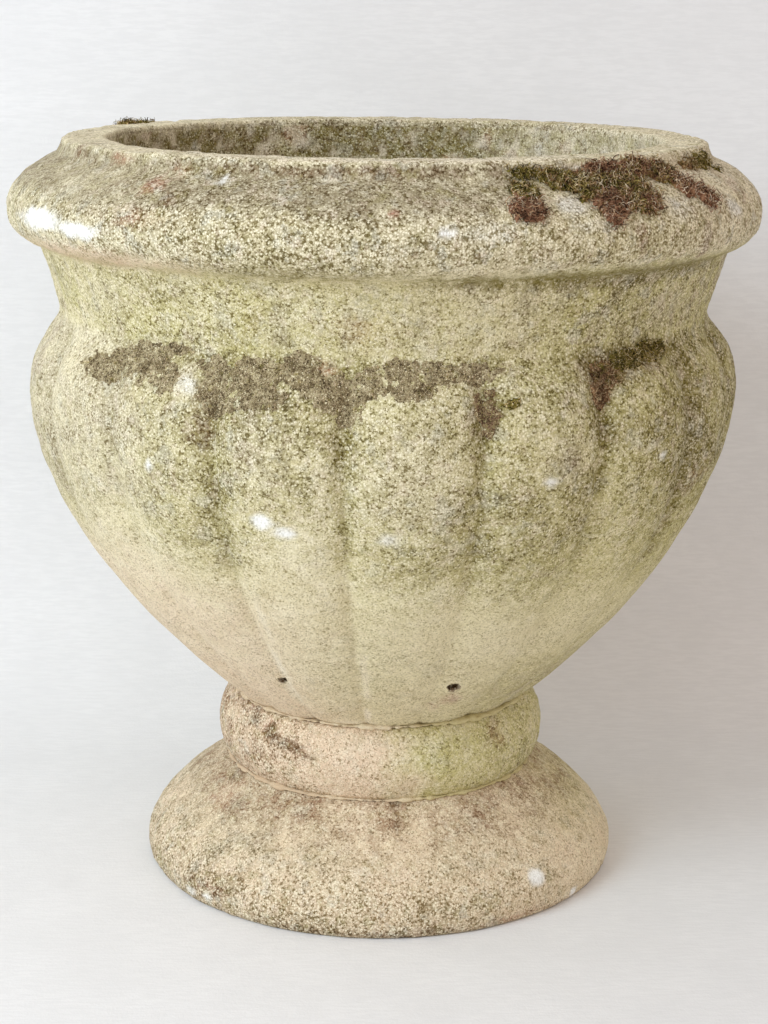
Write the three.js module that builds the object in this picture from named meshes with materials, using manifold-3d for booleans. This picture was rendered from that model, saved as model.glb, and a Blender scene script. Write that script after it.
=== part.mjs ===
// A gadrooned cast-stone garden urn, used as a floor planter.
// Three castings stand on each other: a flared foot, a round collar and an open bowl with a rolled rim.
// Each is bedded in lime mortar, and an iron dowel set in grout runs through the collar into the other two.
// Old moss grows on the rim and along the tops of the bowl's lobes.
// Units are millimetres, +Z is up, and the origin is the middle of the foot's underside.
// Azimuths are in degrees, from the front (-Y) towards +X.

import * as THREE from "three";
import { mergeVertices } from "three/addons/utils/BufferGeometryUtils.js";
import Module from "manifold-3d";

const wasm = await Module();
wasm.setup();

// Clearances
const seatGap = 0.3; // between two pieces that touch

const urnHeight = 525.4; // floor to the top of the lip

// Foot
const footHeight = 76;
const footBaseRadius = 167.5;
const footToeRadius = 172.5; // the widest part of the foot
const footToeHeight = 14;
const footToeRise = 18; // how far the toe runs straight up before it turns in
const footTopRadius = 112;
const footSlopeRun = 22; // length of the straight slope that meets the collar, measured flat
const footSlopeRise = 17;

// Collar
const collarHeight = 50;
const collarBottomRadius = 112;
const collarMiddleRadius = 119;
const collarTopRadius = 108;
const collarBulgeStart = 12.5; // levels between which the collar's side is fullest
const collarBulgeEnd = 35;

// Bowl, outside, from its base up; the underside takes the height that the rest leaves
const bowlBaseRadius = 109;
const bellyRadius = 249;
const bellyStraight = 15; // upright stretch under the belly
const undersideRun = 134.5; // how far the underside runs out in a near-straight slope
const undersideRise = 115.5;
const creaseRadius = 226.6;
const shoulderRise = 59; // belly to the crease under the neck
const shoulderFullness = 43; // how far up the shoulder stays full before it turns in
const shoulderCorner = 16; // how sharply it drops into the crease
const neckTopRadius = 240;
const neckRise = 45;
const neckHollow = 1.5; // how far the neck bows inwards
const noseRadius = 260.5; // the widest part of the rim
const underRimRise = 24;
const rimRise = 35; // nose to the foot of the lip
const rimFullness = 22.5;
const lipRadius = 222.5;
const lipShelf = 2.5; // ledge between the rim's slope and the lip
const lipRise = 10.4;
const lipRounding = 3;

// Bowl, inside
const lipWidth = 31.5;
const wallWidth = 46; // thickness of the wall, measured level
const floorThickness = 45;
const floorCorner = 12; // how far the floor's corner is rounded

// Lobes
const lobeCount = 18;
const firstGrooveAzimuth = -5.4;
const grooveDepth = 8;
const grooveDepthAtBase = 3;
const archDrop = 16; // how much lower the lobe tops lie in a groove than on a crest
const grooveFade = 34; // height over which a groove deepens below the crease
const grooveSharpness = 0.96; // 0 for a shallow dip, 1 for a sharp line
const columnsPerLobe = 6;

// Weep holes, drilled by hand through the bottom of the wall
const weepHoleRadius = 5;
const weepHoleHeight = 39.5; // above the bowl's base
const weepHoleTilt = 35; // degrees that a hole climbs on its way in
const weepHoleLength = 120;
const weepHoleAzimuths = [-26.3, 19.1];

// Iron dowel and its grout
const dowelRadius = 9;
const pocketRadius = 13;
const pocketDepthInFoot = 40;
const pocketDepthInBowl = 22;

// Mortar beds
const footBedThickness = 2;
const bowlBedThickness = 3;
const bedEdgeRounding = 0.8;
const mortarSqueeze = 1.6; // how far the mortar was squeezed out past the joint
const mortarFillet = 1.6; // extra squeeze where it was smeared, on the right
const mortarFilletAzimuth = 40;
const mortarFilletSpread = 25; // degrees
const mortarWaves = [
  { count: 5, share: 0.5 },
  { count: 13, share: 0.3 },
];

// Moss on the tops of the lobes, measured down from the crease under the neck
const shoulderMossDrop = 19;
const shoulderMossHalfHeight = 13;
const shoulderMossSlope = 5; // how much higher the right end of a mat lies than its middle
const shoulderMossThickness = 6;
const grooveMossDrop = 37;
const grooveMossHalfHeight = 9;
const grooveMossThickness = 5;

// Moss on the rim, measured down from the foot of the lip
const rimMossDrop = 11;
const rimMossHalfHeight = 10;
const rimMossSlope = -3;
const rimMossThickness = 9;
const rimPatchDrop = 15;
const rimPatchHalfHeight = 7;
const rimPatchThickness = 6;

// Tufts in the corner where the rim meets the lip
const tuftDrop = 7;
const tuftHalfHeight = 5;
const tuftThickness = 9;

// Every mat's band, the azimuth of its middle and its half width in degrees
const mossMats = [
  { name: "shoulder_moss_left", band: "shoulder", azimuth: -44, spread: 10.5 },
  { name: "shoulder_moss_centre", band: "shoulder", azimuth: -6, spread: 21 },
  { name: "shoulder_moss_right", band: "shoulder", azimuth: 42.5, spread: 10 },
  { name: "groove_moss", band: "groove", azimuth: 17.2, spread: 3.5 },
  { name: "rim_moss_mat", band: "rim", azimuth: 42, spread: 15 },
  { name: "rim_moss_patch", band: "patch", azimuth: 19.6, spread: 2.8 },
  { name: "rim_moss_tuft_right", band: "tuft", azimuth: 66.5, spread: 5 },
  { name: "rim_moss_tuft_back", band: "tuft", azimuth: -120, spread: 6.2 },
];
const mossSpokes = 24;
const mossRings = 4;
const mossEdgeThickness = 0.8;
const mossRootDepth = 3; // how deep a mat is shaped into the stone before the stone is cut away from it
const mossWaves = [
  { count: 3, share: 0.1 },
  { count: 7, share: 0.08 },
];

// Smoothness
const lathedSides = 60;
const bedSides = 60;
const drillSides = 16;
const dowelSides = 24;
const undersideSamples = 60; // for reading the underside's radius at a height
const footSteps = { toe: 3, flare: 6 };
const collarSteps = 7;
const bowlSteps = { underside: 8, shoulder: 7, neck: 2, underRim: 3, rim: 5, lipEdge: 2, inside: 5 };
const mossOvalPower = 0.7; // under 1 makes the ovals squarer

// Levels that follow from the sizes above
const collarLevel = footHeight + footBedThickness;
const bowlLevel = collarLevel + collarHeight + bowlBedThickness;
const bowlHeight = urnHeight - bowlLevel;
const bellyRise = bowlHeight - lipRise - rimRise - underRimRise - neckRise - shoulderRise; // base to belly
const creaseHeight = bellyRise + shoulderRise;
const neckTopHeight = creaseHeight + neckRise;
const noseHeight = neckTopHeight + underRimRise;
const lipFootHeight = noseHeight + rimRise;
const mouthRadius = lipRadius - lipWidth;
const columnCount = lobeCount * columnsPerLobe;
const mossBands = {
  shoulder: {
    height: creaseHeight - shoulderMossDrop,
    halfHeight: shoulderMossHalfHeight,
    slope: shoulderMossSlope,
    thickness: shoulderMossThickness,
  },
  groove: {
    height: creaseHeight - grooveMossDrop,
    halfHeight: grooveMossHalfHeight,
    slope: 0,
    thickness: grooveMossThickness,
  },
  rim: {
    height: lipFootHeight - rimMossDrop,
    halfHeight: rimMossHalfHeight,
    slope: rimMossSlope,
    thickness: rimMossThickness,
  },
  patch: {
    height: lipFootHeight - rimPatchDrop,
    halfHeight: rimPatchHalfHeight,
    slope: 0,
    thickness: rimPatchThickness,
  },
  tuft: {
    height: lipFootHeight - tuftDrop,
    halfHeight: tuftHalfHeight,
    slope: 0,
    thickness: tuftThickness,
  },
};

const castStone = { color: 0xb9b08a, roughness: 0.95, metalness: 0 };
const pinkStone = { color: 0xc6b192, roughness: 0.95, metalness: 0 };
const limeMortar = { color: 0xdccfb0, roughness: 0.98, metalness: 0 };
const rustedIron = { color: 0x6b4226, roughness: 0.8, metalness: 0.6 };
const driedMoss = { color: 0x5d4a3a, roughness: 1, metalness: 0 };

function point2(radius, height) {
  return new THREE.Vector2(radius, height);
}

function place(radius, azimuth, height) {
  const turn = THREE.MathUtils.degToRad(azimuth);
  return new THREE.Vector3(radius * Math.sin(turn), -radius * Math.cos(turn), height);
}

// Joins curves end to end into one list of points.
function outline(...stretches) {
  const points = [];
  for (const [curve, steps] of stretches) {
    const sampled = curve.getPoints(steps);
    points.push(...(points.length ? sampled.slice(1) : sampled));
  }
  return points;
}

function namedMesh(name, geometry, material) {
  const mesh = new THREE.Mesh(geometry, new THREE.MeshStandardMaterial(material));
  mesh.name = name;
  return mesh;
}

// How ragged an edge is at an angle round it, in radians, as a share of its size.
function raggedness(waves, turn, start) {
  return waves.reduce((sum, wave) => sum + wave.share * Math.sin(wave.count * turn + start), 0);
}

// A turned solid about +Z from an outline of radius and height.
function lathed(points) {
  const geometry = new THREE.LatheGeometry(points, lathedSides);
  geometry.rotateX(Math.PI / 2);
  return geometry;
}

// A closed solid from a stack of rings with equal counts of points, capped by a point at each end.
// With no end points the last ring joins the first, which makes a ring-shaped solid.
function stacked(rings, firstPole, lastPole) {
  const count = rings[0].length;
  const points = rings.flat();
  const faces = [];
  const at = (ring, column) => (ring % rings.length) * count + (column % count);
  const lastRow = firstPole ? rings.length - 1 : rings.length;
  for (let row = 0; row < lastRow; row += 1) {
    for (let column = 0; column < count; column += 1) {
      faces.push(at(row, column), at(row, column + 1), at(row + 1, column + 1));
      faces.push(at(row, column), at(row + 1, column + 1), at(row + 1, column));
    }
  }
  if (firstPole) {
    points.push(firstPole, lastPole);
    for (let column = 0; column < count; column += 1) {
      faces.push(points.length - 2, at(0, column + 1), at(0, column));
      faces.push(points.length - 1, at(rings.length - 1, column), at(rings.length - 1, column + 1));
    }
  }
  const geometry = new THREE.BufferGeometry().setFromPoints(points);
  geometry.setIndex(faces);
  geometry.computeVertexNormals();
  return geometry;
}

function toSolid(geometry) {
  const bare = geometry.clone();
  bare.deleteAttribute("normal");
  bare.deleteAttribute("uv");
  const merged = mergeVertices(bare, 1e-4);
  const vertProperties = new Float32Array(merged.attributes.position.array);
  const triVerts = new Uint32Array(merged.index.array);
  return new wasm.Manifold(new wasm.Mesh({ numProp: 3, vertProperties, triVerts }));
}

function toGeometry(solid) {
  const mesh = solid.getMesh();
  const geometry = new THREE.BufferGeometry();
  geometry.setAttribute("position", new THREE.BufferAttribute(mesh.vertProperties, 3));
  geometry.setIndex(new THREE.BufferAttribute(mesh.triVerts, 1));
  geometry.computeVertexNormals();
  return geometry;
}

// The foot: a solid flared casting with a blind pocket for the dowel in its top.
function footGeometry() {
  const toe = new THREE.QuadraticBezierCurve(
    point2(footBaseRadius, 0),
    point2(footToeRadius, 0),
    point2(footToeRadius, footToeHeight),
  );
  const flare = new THREE.CubicBezierCurve(
    point2(footToeRadius, footToeHeight),
    point2(footToeRadius, footToeHeight + footToeRise),
    point2(footTopRadius + footSlopeRun, footHeight - footSlopeRise),
    point2(footTopRadius, footHeight),
  );
  const pocketFloor = footHeight - pocketDepthInFoot;
  return lathed([
    point2(0, 0),
    ...outline([toe, footSteps.toe], [flare, footSteps.flare]),
    point2(pocketRadius, footHeight),
    point2(pocketRadius, pocketFloor),
    point2(0, pocketFloor),
  ]);
}

// The collar: a round cushion-shaped ring with a hole for the dowel.
function collarGeometry() {
  // A cubic curve passes its middle at an eighth of its ends plus three quarters of its two handles.
  const handleRadius = (8 * collarMiddleRadius - collarBottomRadius - collarTopRadius) / 6;
  const side = new THREE.CubicBezierCurve(
    point2(collarBottomRadius, 0),
    point2(handleRadius, collarBulgeStart),
    point2(handleRadius, collarBulgeEnd),
    point2(collarTopRadius, collarHeight),
  );
  return lathed([
    point2(pocketRadius, 0),
    ...outline([side, collarSteps]),
    point2(pocketRadius, collarHeight),
    point2(pocketRadius, 0),
  ]);
}

const underside = new THREE.CubicBezierCurve(
  point2(bowlBaseRadius, 0),
  point2(bowlBaseRadius + undersideRun, undersideRise),
  point2(bellyRadius, bellyRise - bellyStraight),
  point2(bellyRadius, bellyRise),
);

// The bowl's outside, from the edge of its base to the top of the lip.
function bowlOutline() {
  const shoulder = new THREE.CubicBezierCurve(
    point2(bellyRadius, bellyRise),
    point2(bellyRadius, bellyRise + shoulderFullness),
    point2(creaseRadius, creaseHeight - shoulderCorner),
    point2(creaseRadius, creaseHeight),
  );
  const neck = new THREE.QuadraticBezierCurve(
    point2(creaseRadius, creaseHeight),
    point2((creaseRadius + neckTopRadius) / 2 - neckHollow, creaseHeight + neckRise / 2),
    point2(neckTopRadius, neckTopHeight),
  );
  const underRim = new THREE.QuadraticBezierCurve(
    point2(neckTopRadius, neckTopHeight),
    point2(noseRadius, neckTopHeight + underRimRise / 4),
    point2(noseRadius, noseHeight),
  );
  const rim = new THREE.CubicBezierCurve(
    point2(noseRadius, noseHeight),
    point2(noseRadius, noseHeight + rimFullness),
    point2(lipRadius + lipShelf, lipFootHeight - lipShelf / 2),
    point2(lipRadius + lipShelf, lipFootHeight),
  );
  const lipFace = new THREE.LineCurve(
    point2(lipRadius, lipFootHeight + lipShelf),
    point2(lipRadius, bowlHeight - lipRounding),
  );
  const lipEdge = new THREE.QuadraticBezierCurve(
    point2(lipRadius, bowlHeight - lipRounding),
    point2(lipRadius, bowlHeight),
    point2(lipRadius - lipRounding, bowlHeight),
  );
  return [
    ...outline(
      [underside, bowlSteps.underside],
      [shoulder, bowlSteps.shoulder],
      [neck, bowlSteps.neck],
      [underRim, bowlSteps.underRim],
      [rim, bowlSteps.rim],
    ),
    ...outline([lipFace, 1], [lipEdge, bowlSteps.lipEdge]),
  ];
}

// Where an azimuth lies across its lobe: 0 on the crest, 1 in the groove.
function acrossLobe(azimuth) {
  const turns = ((azimuth - firstGrooveAzimuth) * lobeCount) / 360;
  return 1 - 2 * Math.abs(turns - Math.round(turns));
}

// How far a groove is sunk below the outline, at a height above the bowl's base.
function grooveSink(height) {
  if (height >= creaseHeight) return 0;
  const belowCrease = (creaseHeight - height) / grooveFade;
  const fade = THREE.MathUtils.smoothstep(belowCrease, 0, 1);
  const climb = Math.min(1, height / bellyRise);
  return fade * THREE.MathUtils.lerp(grooveDepthAtBase, grooveDepth, Math.sqrt(climb));
}

// One point of the bowl's outside: the outline, sunk into grooves and arched at the lobe tops.
function lobedPoint(stop, azimuth) {
  const across = acrossLobe(azimuth);
  const sink = grooveSink(stop.y) * (1 - Math.sqrt(1 - grooveSharpness * across ** 2));
  const onShoulder = THREE.MathUtils.clamp((stop.y - bellyRise) / shoulderRise, 0, 1);
  const arch = stop.y < creaseHeight ? archDrop * across ** 4 * onShoulder * (1 - onShoulder) * 2 : 0;
  return place(stop.x - sink, azimuth, stop.y - arch);
}

function columnAzimuth(column) {
  return firstGrooveAzimuth + (column * 360) / columnCount;
}

function ringOf(pointAt) {
  return Array.from({ length: columnCount }, (_, column) => pointAt(columnAzimuth(column)));
}

// The outside as a grid of points, one row per stop of the outline. The moss is laid on the same grid.
const bowlStops = bowlOutline();
const bowlSkin = bowlStops.map((stop) => ringOf((azimuth) => lobedPoint(stop, azimuth)));

// The hollow is as wide as the mouth where the wall allows, because its core was drawn straight out.
function bowlInside() {
  const stops = [point2(mouthRadius, bowlHeight)];
  const wallRadius = (height) => {
    const outside = underside.getPoints(undersideSamples).reduce((best, stop) =>
      Math.abs(stop.y - height) < Math.abs(best.y - height) ? stop : best);
    return Math.min(mouthRadius, outside.x - wallWidth);
  };
  const cornerHeight = floorThickness + floorCorner;
  for (let step = 0; step <= bowlSteps.inside; step += 1) {
    const height = THREE.MathUtils.lerp(bellyRise, cornerHeight, step / bowlSteps.inside);
    stops.push(point2(wallRadius(height), height));
  }
  stops.push(point2(wallRadius(floorThickness) - floorCorner, floorThickness));
  return stops;
}

function weepHole(azimuth) {
  const drill = new THREE.CylinderGeometry(weepHoleRadius, weepHoleRadius, weepHoleLength, drillSides);
  const mouth = underside.getPoints(undersideSamples).find((stop) => stop.y >= weepHoleHeight);
  const climb = THREE.MathUtils.degToRad(weepHoleTilt);
  const direction = place(Math.cos(climb), azimuth, -Math.sin(climb));
  drill.applyQuaternion(new THREE.Quaternion().setFromUnitVectors(new THREE.Vector3(0, 1, 0), direction));
  const centre = place(mouth.x, azimuth, mouth.y);
  drill.translate(centre.x, centre.y, centre.z);
  return toSolid(drill);
}

// The bowl: lobed outside, plain inside, two weep holes, and a pocket for the dowel underneath.
function bowlGeometry() {
  const inside = bowlInside().map((stop) => ringOf((azimuth) => place(stop.x, azimuth, stop.y)));
  const rings = [...bowlSkin, ...inside];
  const blank = stacked(rings, new THREE.Vector3(0, 0, 0), new THREE.Vector3(0, 0, floorThickness));
  const pocket = new THREE.CylinderGeometry(pocketRadius, pocketRadius, 2 * pocketDepthInBowl, lathedSides);
  pocket.rotateX(Math.PI / 2);
  let bowl = toSolid(blank).subtract(toSolid(pocket));
  for (const azimuth of weepHoleAzimuths) bowl = bowl.subtract(weepHole(azimuth));
  return toGeometry(bowl);
}

const bowlStone = bowlGeometry();

function dowelGeometry(length) {
  const bar = new THREE.CylinderGeometry(dowelRadius, dowelRadius, length, dowelSides);
  bar.rotateX(Math.PI / 2);
  bar.translate(0, 0, length / 2);
  return bar;
}

function groutGeometry(length) {
  const inner = dowelRadius + seatGap;
  const outer = pocketRadius - seatGap;
  return lathed([
    point2(inner, 0),
    point2(outer, 0),
    point2(outer, length),
    point2(inner, length),
    point2(inner, 0),
  ]);
}

// A bed of mortar between two castings, squeezed out unevenly all round.
function bedGeometry(jointRadius, thickness, fillet) {
  const top = thickness - 2 * seatGap;
  const rim = (azimuth, inset) => {
    const turn = THREE.MathUtils.degToRad(azimuth);
    const smear = fillet * Math.exp(-(((azimuth - mortarFilletAzimuth) / mortarFilletSpread) ** 2));
    return jointRadius + mortarSqueeze * (1 + raggedness(mortarWaves, turn, thickness)) + smear - inset;
  };
  const ring = (radiusAt, height) =>
    Array.from({ length: bedSides }, (_, side) => {
      const azimuth = (side * 360) / bedSides - 180;
      return place(radiusAt(azimuth), azimuth, height);
    });
  const rounding = bedEdgeRounding;
  return stacked([
    ring(() => pocketRadius, 0),
    ring((azimuth) => rim(azimuth, rounding), 0),
    ring((azimuth) => rim(azimuth, 0), top / 2),
    ring((azimuth) => rim(azimuth, rounding), top),
    ring(() => pocketRadius, top),
  ]);
}

// The row of the bowl's grid, with its fraction, that lies at a height above the bowl's base.
function rowAt(height) {
  const above = bowlStops.findIndex((stop) => stop.y > height);
  const row = above > 0 ? above - 1 : bowlStops.length - 2;
  const below = bowlStops[row].y;
  return row + (height - below) / (bowlStops[row + 1].y - below);
}

// A point on the flat triangles of the bowl's outside.
function skinPoint(azimuth, height) {
  const row = rowAt(height);
  const column = (((azimuth - firstGrooveAzimuth) * columnCount) / 360 + columnCount) % columnCount;
  const i = Math.floor(row);
  const j = Math.floor(column);
  const up = row - i;
  const along = column - j;
  const lowRow = bowlSkin[i];
  const highRow = bowlSkin[i + 1];
  const next = (j + 1) % columnCount;
  const point = lowRow[j].clone();
  if (up <= along) {
    point.addScaledVector(lowRow[next], along).addScaledVector(lowRow[j], -along);
    return point.addScaledVector(highRow[next], up).addScaledVector(lowRow[next], -up);
  }
  point.addScaledVector(highRow[j], up).addScaledVector(lowRow[j], -up);
  return point.addScaledVector(highRow[next], along).addScaledVector(highRow[j], -along);
}

function skinNormal(azimuth, height) {
  const turn = 0.5; // degrees to each side
  const climb = 2; // millimetres up and down
  const across = skinPoint(azimuth + turn, height).sub(skinPoint(azimuth - turn, height));
  const up = skinPoint(azimuth, height + climb).sub(skinPoint(azimuth, height - climb));
  return across.cross(up).normalize();
}

// Pushes a sine or cosine outwards, so that an oval drawn with it is squarer.
function squared(value) {
  return Math.sign(value) * Math.abs(value) ** mossOvalPower;
}

// A moss mat: a ragged oval cushion, cut to the stone behind it.
function mossGeometry({ band, azimuth, spread }) {
  const { height, halfHeight, slope, thickness } = mossBands[band];
  const layer = (ring, lift) =>
    Array.from({ length: mossSpokes }, (_, spoke) => {
      const turn = (spoke * 2 * Math.PI) / mossSpokes;
      const reach = ((1 + raggedness(mossWaves, turn, azimuth)) * ring) / mossRings;
      const right = squared(Math.cos(turn)) * reach;
      const up = squared(Math.sin(turn)) * reach;
      const ringAzimuth = azimuth + spread * right;
      const ringHeight = height + halfHeight * up + slope * right;
      const outwards = skinNormal(ringAzimuth, ringHeight);
      return skinPoint(ringAzimuth, ringHeight).addScaledVector(outwards, lift);
    });
  const rings = [];
  for (let ring = 1; ring <= mossRings; ring += 1) rings.push(layer(ring, -mossRootDepth));
  for (let ring = mossRings; ring >= 1; ring -= 1) {
    const crown = Math.sqrt(1 - (ring / mossRings) ** 2);
    rings.push(layer(ring, seatGap + mossEdgeThickness + (thickness - mossEdgeThickness) * crown));
  }
  const outward = skinNormal(azimuth, height);
  const root = skinPoint(azimuth, height).addScaledVector(outward, -mossRootDepth);
  const crest = skinPoint(azimuth, height).addScaledVector(outward, seatGap + thickness);
  const gap = outward.multiplyScalar(seatGap);
  const stone = bowlStone.clone().translate(gap.x, gap.y, gap.z);
  return toGeometry(toSolid(stacked(rings, root, crest)).subtract(toSolid(stone)));
}

// Assembly
const urn = new THREE.Group();
const pedestal = new THREE.Group();
const vessel = new THREE.Group();
vessel.position.z = bowlLevel;
urn.add(pedestal, vessel);

pedestal.add(namedMesh("foot", footGeometry(), pinkStone));

const footBed = namedMesh("collar_bed_mortar", bedGeometry(footTopRadius, footBedThickness, 0), limeMortar);
footBed.position.z = footHeight + seatGap;
pedestal.add(footBed);

const collar = namedMesh("collar", collarGeometry(), pinkStone);
collar.position.z = collarLevel;
pedestal.add(collar);

const bowlBedGeometry = bedGeometry(collarTopRadius, bowlBedThickness, mortarFillet);
const bowlBed = namedMesh("bowl_bed_mortar", bowlBedGeometry, limeMortar);
bowlBed.position.z = collarLevel + collarHeight + seatGap;
pedestal.add(bowlBed);

const pinBottom = footHeight - pocketDepthInFoot + seatGap;
const pinLength = bowlLevel + pocketDepthInBowl - seatGap - pinBottom;
const dowel = namedMesh("centre_dowel", dowelGeometry(pinLength), rustedIron);
const grout = namedMesh("dowel_grout", groutGeometry(pinLength), limeMortar);
dowel.position.z = pinBottom;
grout.position.z = pinBottom;
pedestal.add(dowel, grout);

vessel.add(namedMesh("bowl", bowlStone, castStone));
for (const mat of mossMats) vessel.add(namedMesh(mat.name, mossGeometry(mat), driedMoss));

export default urn;
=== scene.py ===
import math

import bpy
import numpy as np
from mathutils import Matrix, Vector, kdtree, noise


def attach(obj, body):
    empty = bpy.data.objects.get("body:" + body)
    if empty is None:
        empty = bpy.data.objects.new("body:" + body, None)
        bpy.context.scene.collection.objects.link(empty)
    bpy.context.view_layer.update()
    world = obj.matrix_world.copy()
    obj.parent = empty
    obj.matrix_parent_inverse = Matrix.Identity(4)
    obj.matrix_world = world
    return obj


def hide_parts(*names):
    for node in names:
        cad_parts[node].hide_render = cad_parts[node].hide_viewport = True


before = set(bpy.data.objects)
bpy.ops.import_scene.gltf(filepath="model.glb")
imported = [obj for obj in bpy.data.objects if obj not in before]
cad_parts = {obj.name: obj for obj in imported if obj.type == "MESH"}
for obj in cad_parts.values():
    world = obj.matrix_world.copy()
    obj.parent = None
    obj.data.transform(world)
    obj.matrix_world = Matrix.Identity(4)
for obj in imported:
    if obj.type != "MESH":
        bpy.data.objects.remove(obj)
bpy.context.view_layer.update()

mm = 0.001  # sizes below are in millimetres, and meshes are scaled by this as they are made

# camera, light and floor

camera = {
    "distance": 1440,  # from the urn's axis, along the floor
    "height": 623.6,
    "pitch": 14.34,  # degrees down
    "roll": 0.48,  # degrees, the photo leans a little to the right
    "yaw": 0.065,
    "focal": 2044,  # pixels, for a picture 1024 pixels high
    "pictureHeight": 1024,
    "sensorHeight": 24,
}


def addCamera(c):
    data = bpy.data.cameras.new("photoCamera")
    data.sensor_fit = "VERTICAL"
    data.sensor_height = c["sensorHeight"]
    data.lens = c["sensorHeight"] * c["focal"] / c["pictureHeight"]
    data.clip_start = 0.05
    obj = bpy.data.objects.new("photoCamera", data)
    bpy.context.scene.collection.objects.link(obj)
    aim = (
        Matrix.Rotation(math.radians(-c["yaw"]), 4, "Z")
        @ Matrix.Rotation(math.radians(90 - c["pitch"]), 4, "X")
        @ Matrix.Rotation(math.radians(c["roll"]), 4, "Z")
    )
    obj.matrix_world = Matrix.Translation((0, -c["distance"] * mm, c["height"] * mm)) @ aim
    bpy.context.scene.camera = obj


lamps = {
    # azimuth from the front towards +X and elevation in degrees, the other sizes in metres
    "window": {"azimuth": -46, "elevation": 31, "distance": 2.4, "aimHeight": 0.25, "side": 1.2,
               "power": 38, "colour": (0.72, 0.86, 0.98)},
}
worldLight = {"strength": 0.78, "colour": (1.0, 0.893, 0.85), "seen": (232, 231, 229)}


def direction(azimuth, elevation):
    # a unit vector from the urn's axis outwards
    turn, climb = math.radians(azimuth), math.radians(elevation)
    level = math.cos(climb)
    return Vector((level * math.sin(turn), -level * math.cos(turn), math.sin(climb)))


def addLights():
    for name, spec in lamps.items():
        data = bpy.data.lights.new(name, "AREA")
        data.size = spec["side"]
        data.energy = spec["power"]
        data.color = spec["colour"]
        obj = bpy.data.objects.new(name, data)
        bpy.context.scene.collection.objects.link(obj)
        away = direction(spec["azimuth"], spec["elevation"])
        obj.location = Vector((0, 0, spec["aimHeight"])) + away * spec["distance"]
        obj.rotation_euler = away.to_track_quat("Z", "Y").to_euler()
    world = bpy.data.worlds.new("studio")
    world.use_nodes = True
    background = world.node_tree.nodes["Background"]
    background.inputs["Color"].default_value = (*worldLight["colour"], 1)
    background.inputs["Strength"].default_value = worldLight["strength"]
    # seen past the backdrop, and in reflections, the world is a plain pale colour
    g = Graph(world.node_tree)
    path = world.node_tree.nodes.new("ShaderNodeLightPath").outputs
    seen = g.math("MAXIMUM", path["Is Glossy Ray"], path["Is Transmission Ray"])
    seen = g.math("MAXIMUM", path["Is Camera Ray"], seen)
    pale = g.add("ShaderNodeBackground", {"Color": linear(*worldLight["seen"]), "Strength": 1.0})
    mixed = g.add("ShaderNodeMixShader", {0: seen, 1: background.outputs[0], 2: pale})
    g.put(world.node_tree.nodes["World Output"].inputs["Surface"], mixed)
    bpy.context.scene.world = world


# node helpers


class Graph:
    # a short way to write a node tree: every call adds one node and returns its output socket
    def __init__(self, tree):
        self.tree = tree

    def put(self, socket, value):
        if isinstance(value, bpy.types.NodeSocket):
            self.tree.links.new(value, socket)
        elif value is not None:
            socket.default_value = value

    def add(self, kind, inputs=None, output=0, **props):
        made = self.tree.nodes.new(kind)
        for name, value in props.items():
            setattr(made, name, value)
        for key, value in (inputs or {}).items():
            self.put(made.inputs[key], value)
        return made.outputs[output]

    def math(self, operation, a, b=None, c=None, clamp=False):
        made = self.tree.nodes.new("ShaderNodeMath")
        made.operation = operation
        made.use_clamp = clamp
        for socket, value in zip(made.inputs, (a, b, c)):
            self.put(socket, value)
        return made.outputs[0]

    def mapRange(self, value, low, high, toLow=0.0, toHigh=1.0):
        made = self.tree.nodes.new("ShaderNodeMapRange")
        made.interpolation_type = "SMOOTHSTEP"
        items = {"Value": value, "From Min": low, "From Max": high, "To Min": toLow, "To Max": toHigh}
        for key, item in items.items():
            self.put(made.inputs[key], item)
        return made.outputs[0]

    def noise(self, vector, scale, detail=3.0, rough=0.55, offset=0.0):
        shift = (offset, offset * 0.7, -offset)
        moved = self.add("ShaderNodeVectorMath", {0: vector, 1: shift}, operation="ADD")
        inputs = {"Vector": moved, "Scale": scale, "Detail": detail, "Roughness": rough}
        return self.add("ShaderNodeTexNoise", inputs)

    def swing(self, pattern, amount, base):
        # the base, more where the pattern is above its middle and less where it is below
        return self.math("MULTIPLY_ADD", self.math("SUBTRACT", pattern, 0.5), amount, base)

    def worn(self, amount, erosion, more, plain, clamp=False):
        # the amount times a share that grows as the stone wears
        return self.math("MULTIPLY", amount, self.math("MULTIPLY_ADD", erosion, more, plain, clamp))

    def mix(self, factor, a, b, blend="MIX"):
        made = self.tree.nodes.new("ShaderNodeMix")
        made.data_type = "RGBA"
        made.blend_type = blend
        made.clamp_factor = True
        self.put(made.inputs["Factor"], factor)
        self.put(made.inputs[6], a)
        self.put(made.inputs[7], b)
        return made.outputs[2]

    def attribute(self, name):
        return self.add("ShaderNodeAttribute", output=2, attribute_name=name)


def linear(red, green, blue):
    # a colour written as a picture shows it, 0 to 255, as the shader wants it
    def one(v):
        v /= 255
        return v / 12.92 if v <= 0.04045 else ((v + 0.055) / 1.055) ** 2.4
    return (one(red), one(green), one(blue), 1)


def newMaterial(name):
    # the material, its graph, the place on the piece and the shader, which is dull unless changed
    material = bpy.data.materials.new(name)
    material.use_nodes = True
    shader = material.node_tree.nodes["Principled BSDF"]
    shader.inputs["Specular IOR Level"].default_value = 0.2
    g = Graph(material.node_tree)
    return material, g, g.add("ShaderNodeTexCoord", output=3), shader


def dress(g, shader, colour, relief, roughness):
    # relief is a height pattern, how strong it is and how deep in metres
    height, strength, depth = relief
    bump = g.add("ShaderNodeBump", {"Height": height, "Strength": strength, "Distance": depth})
    for key, value in {"Base Color": colour, "Normal": bump, "Roughness": roughness}.items():
        g.put(shader.inputs[key], value)


# stone

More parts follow.
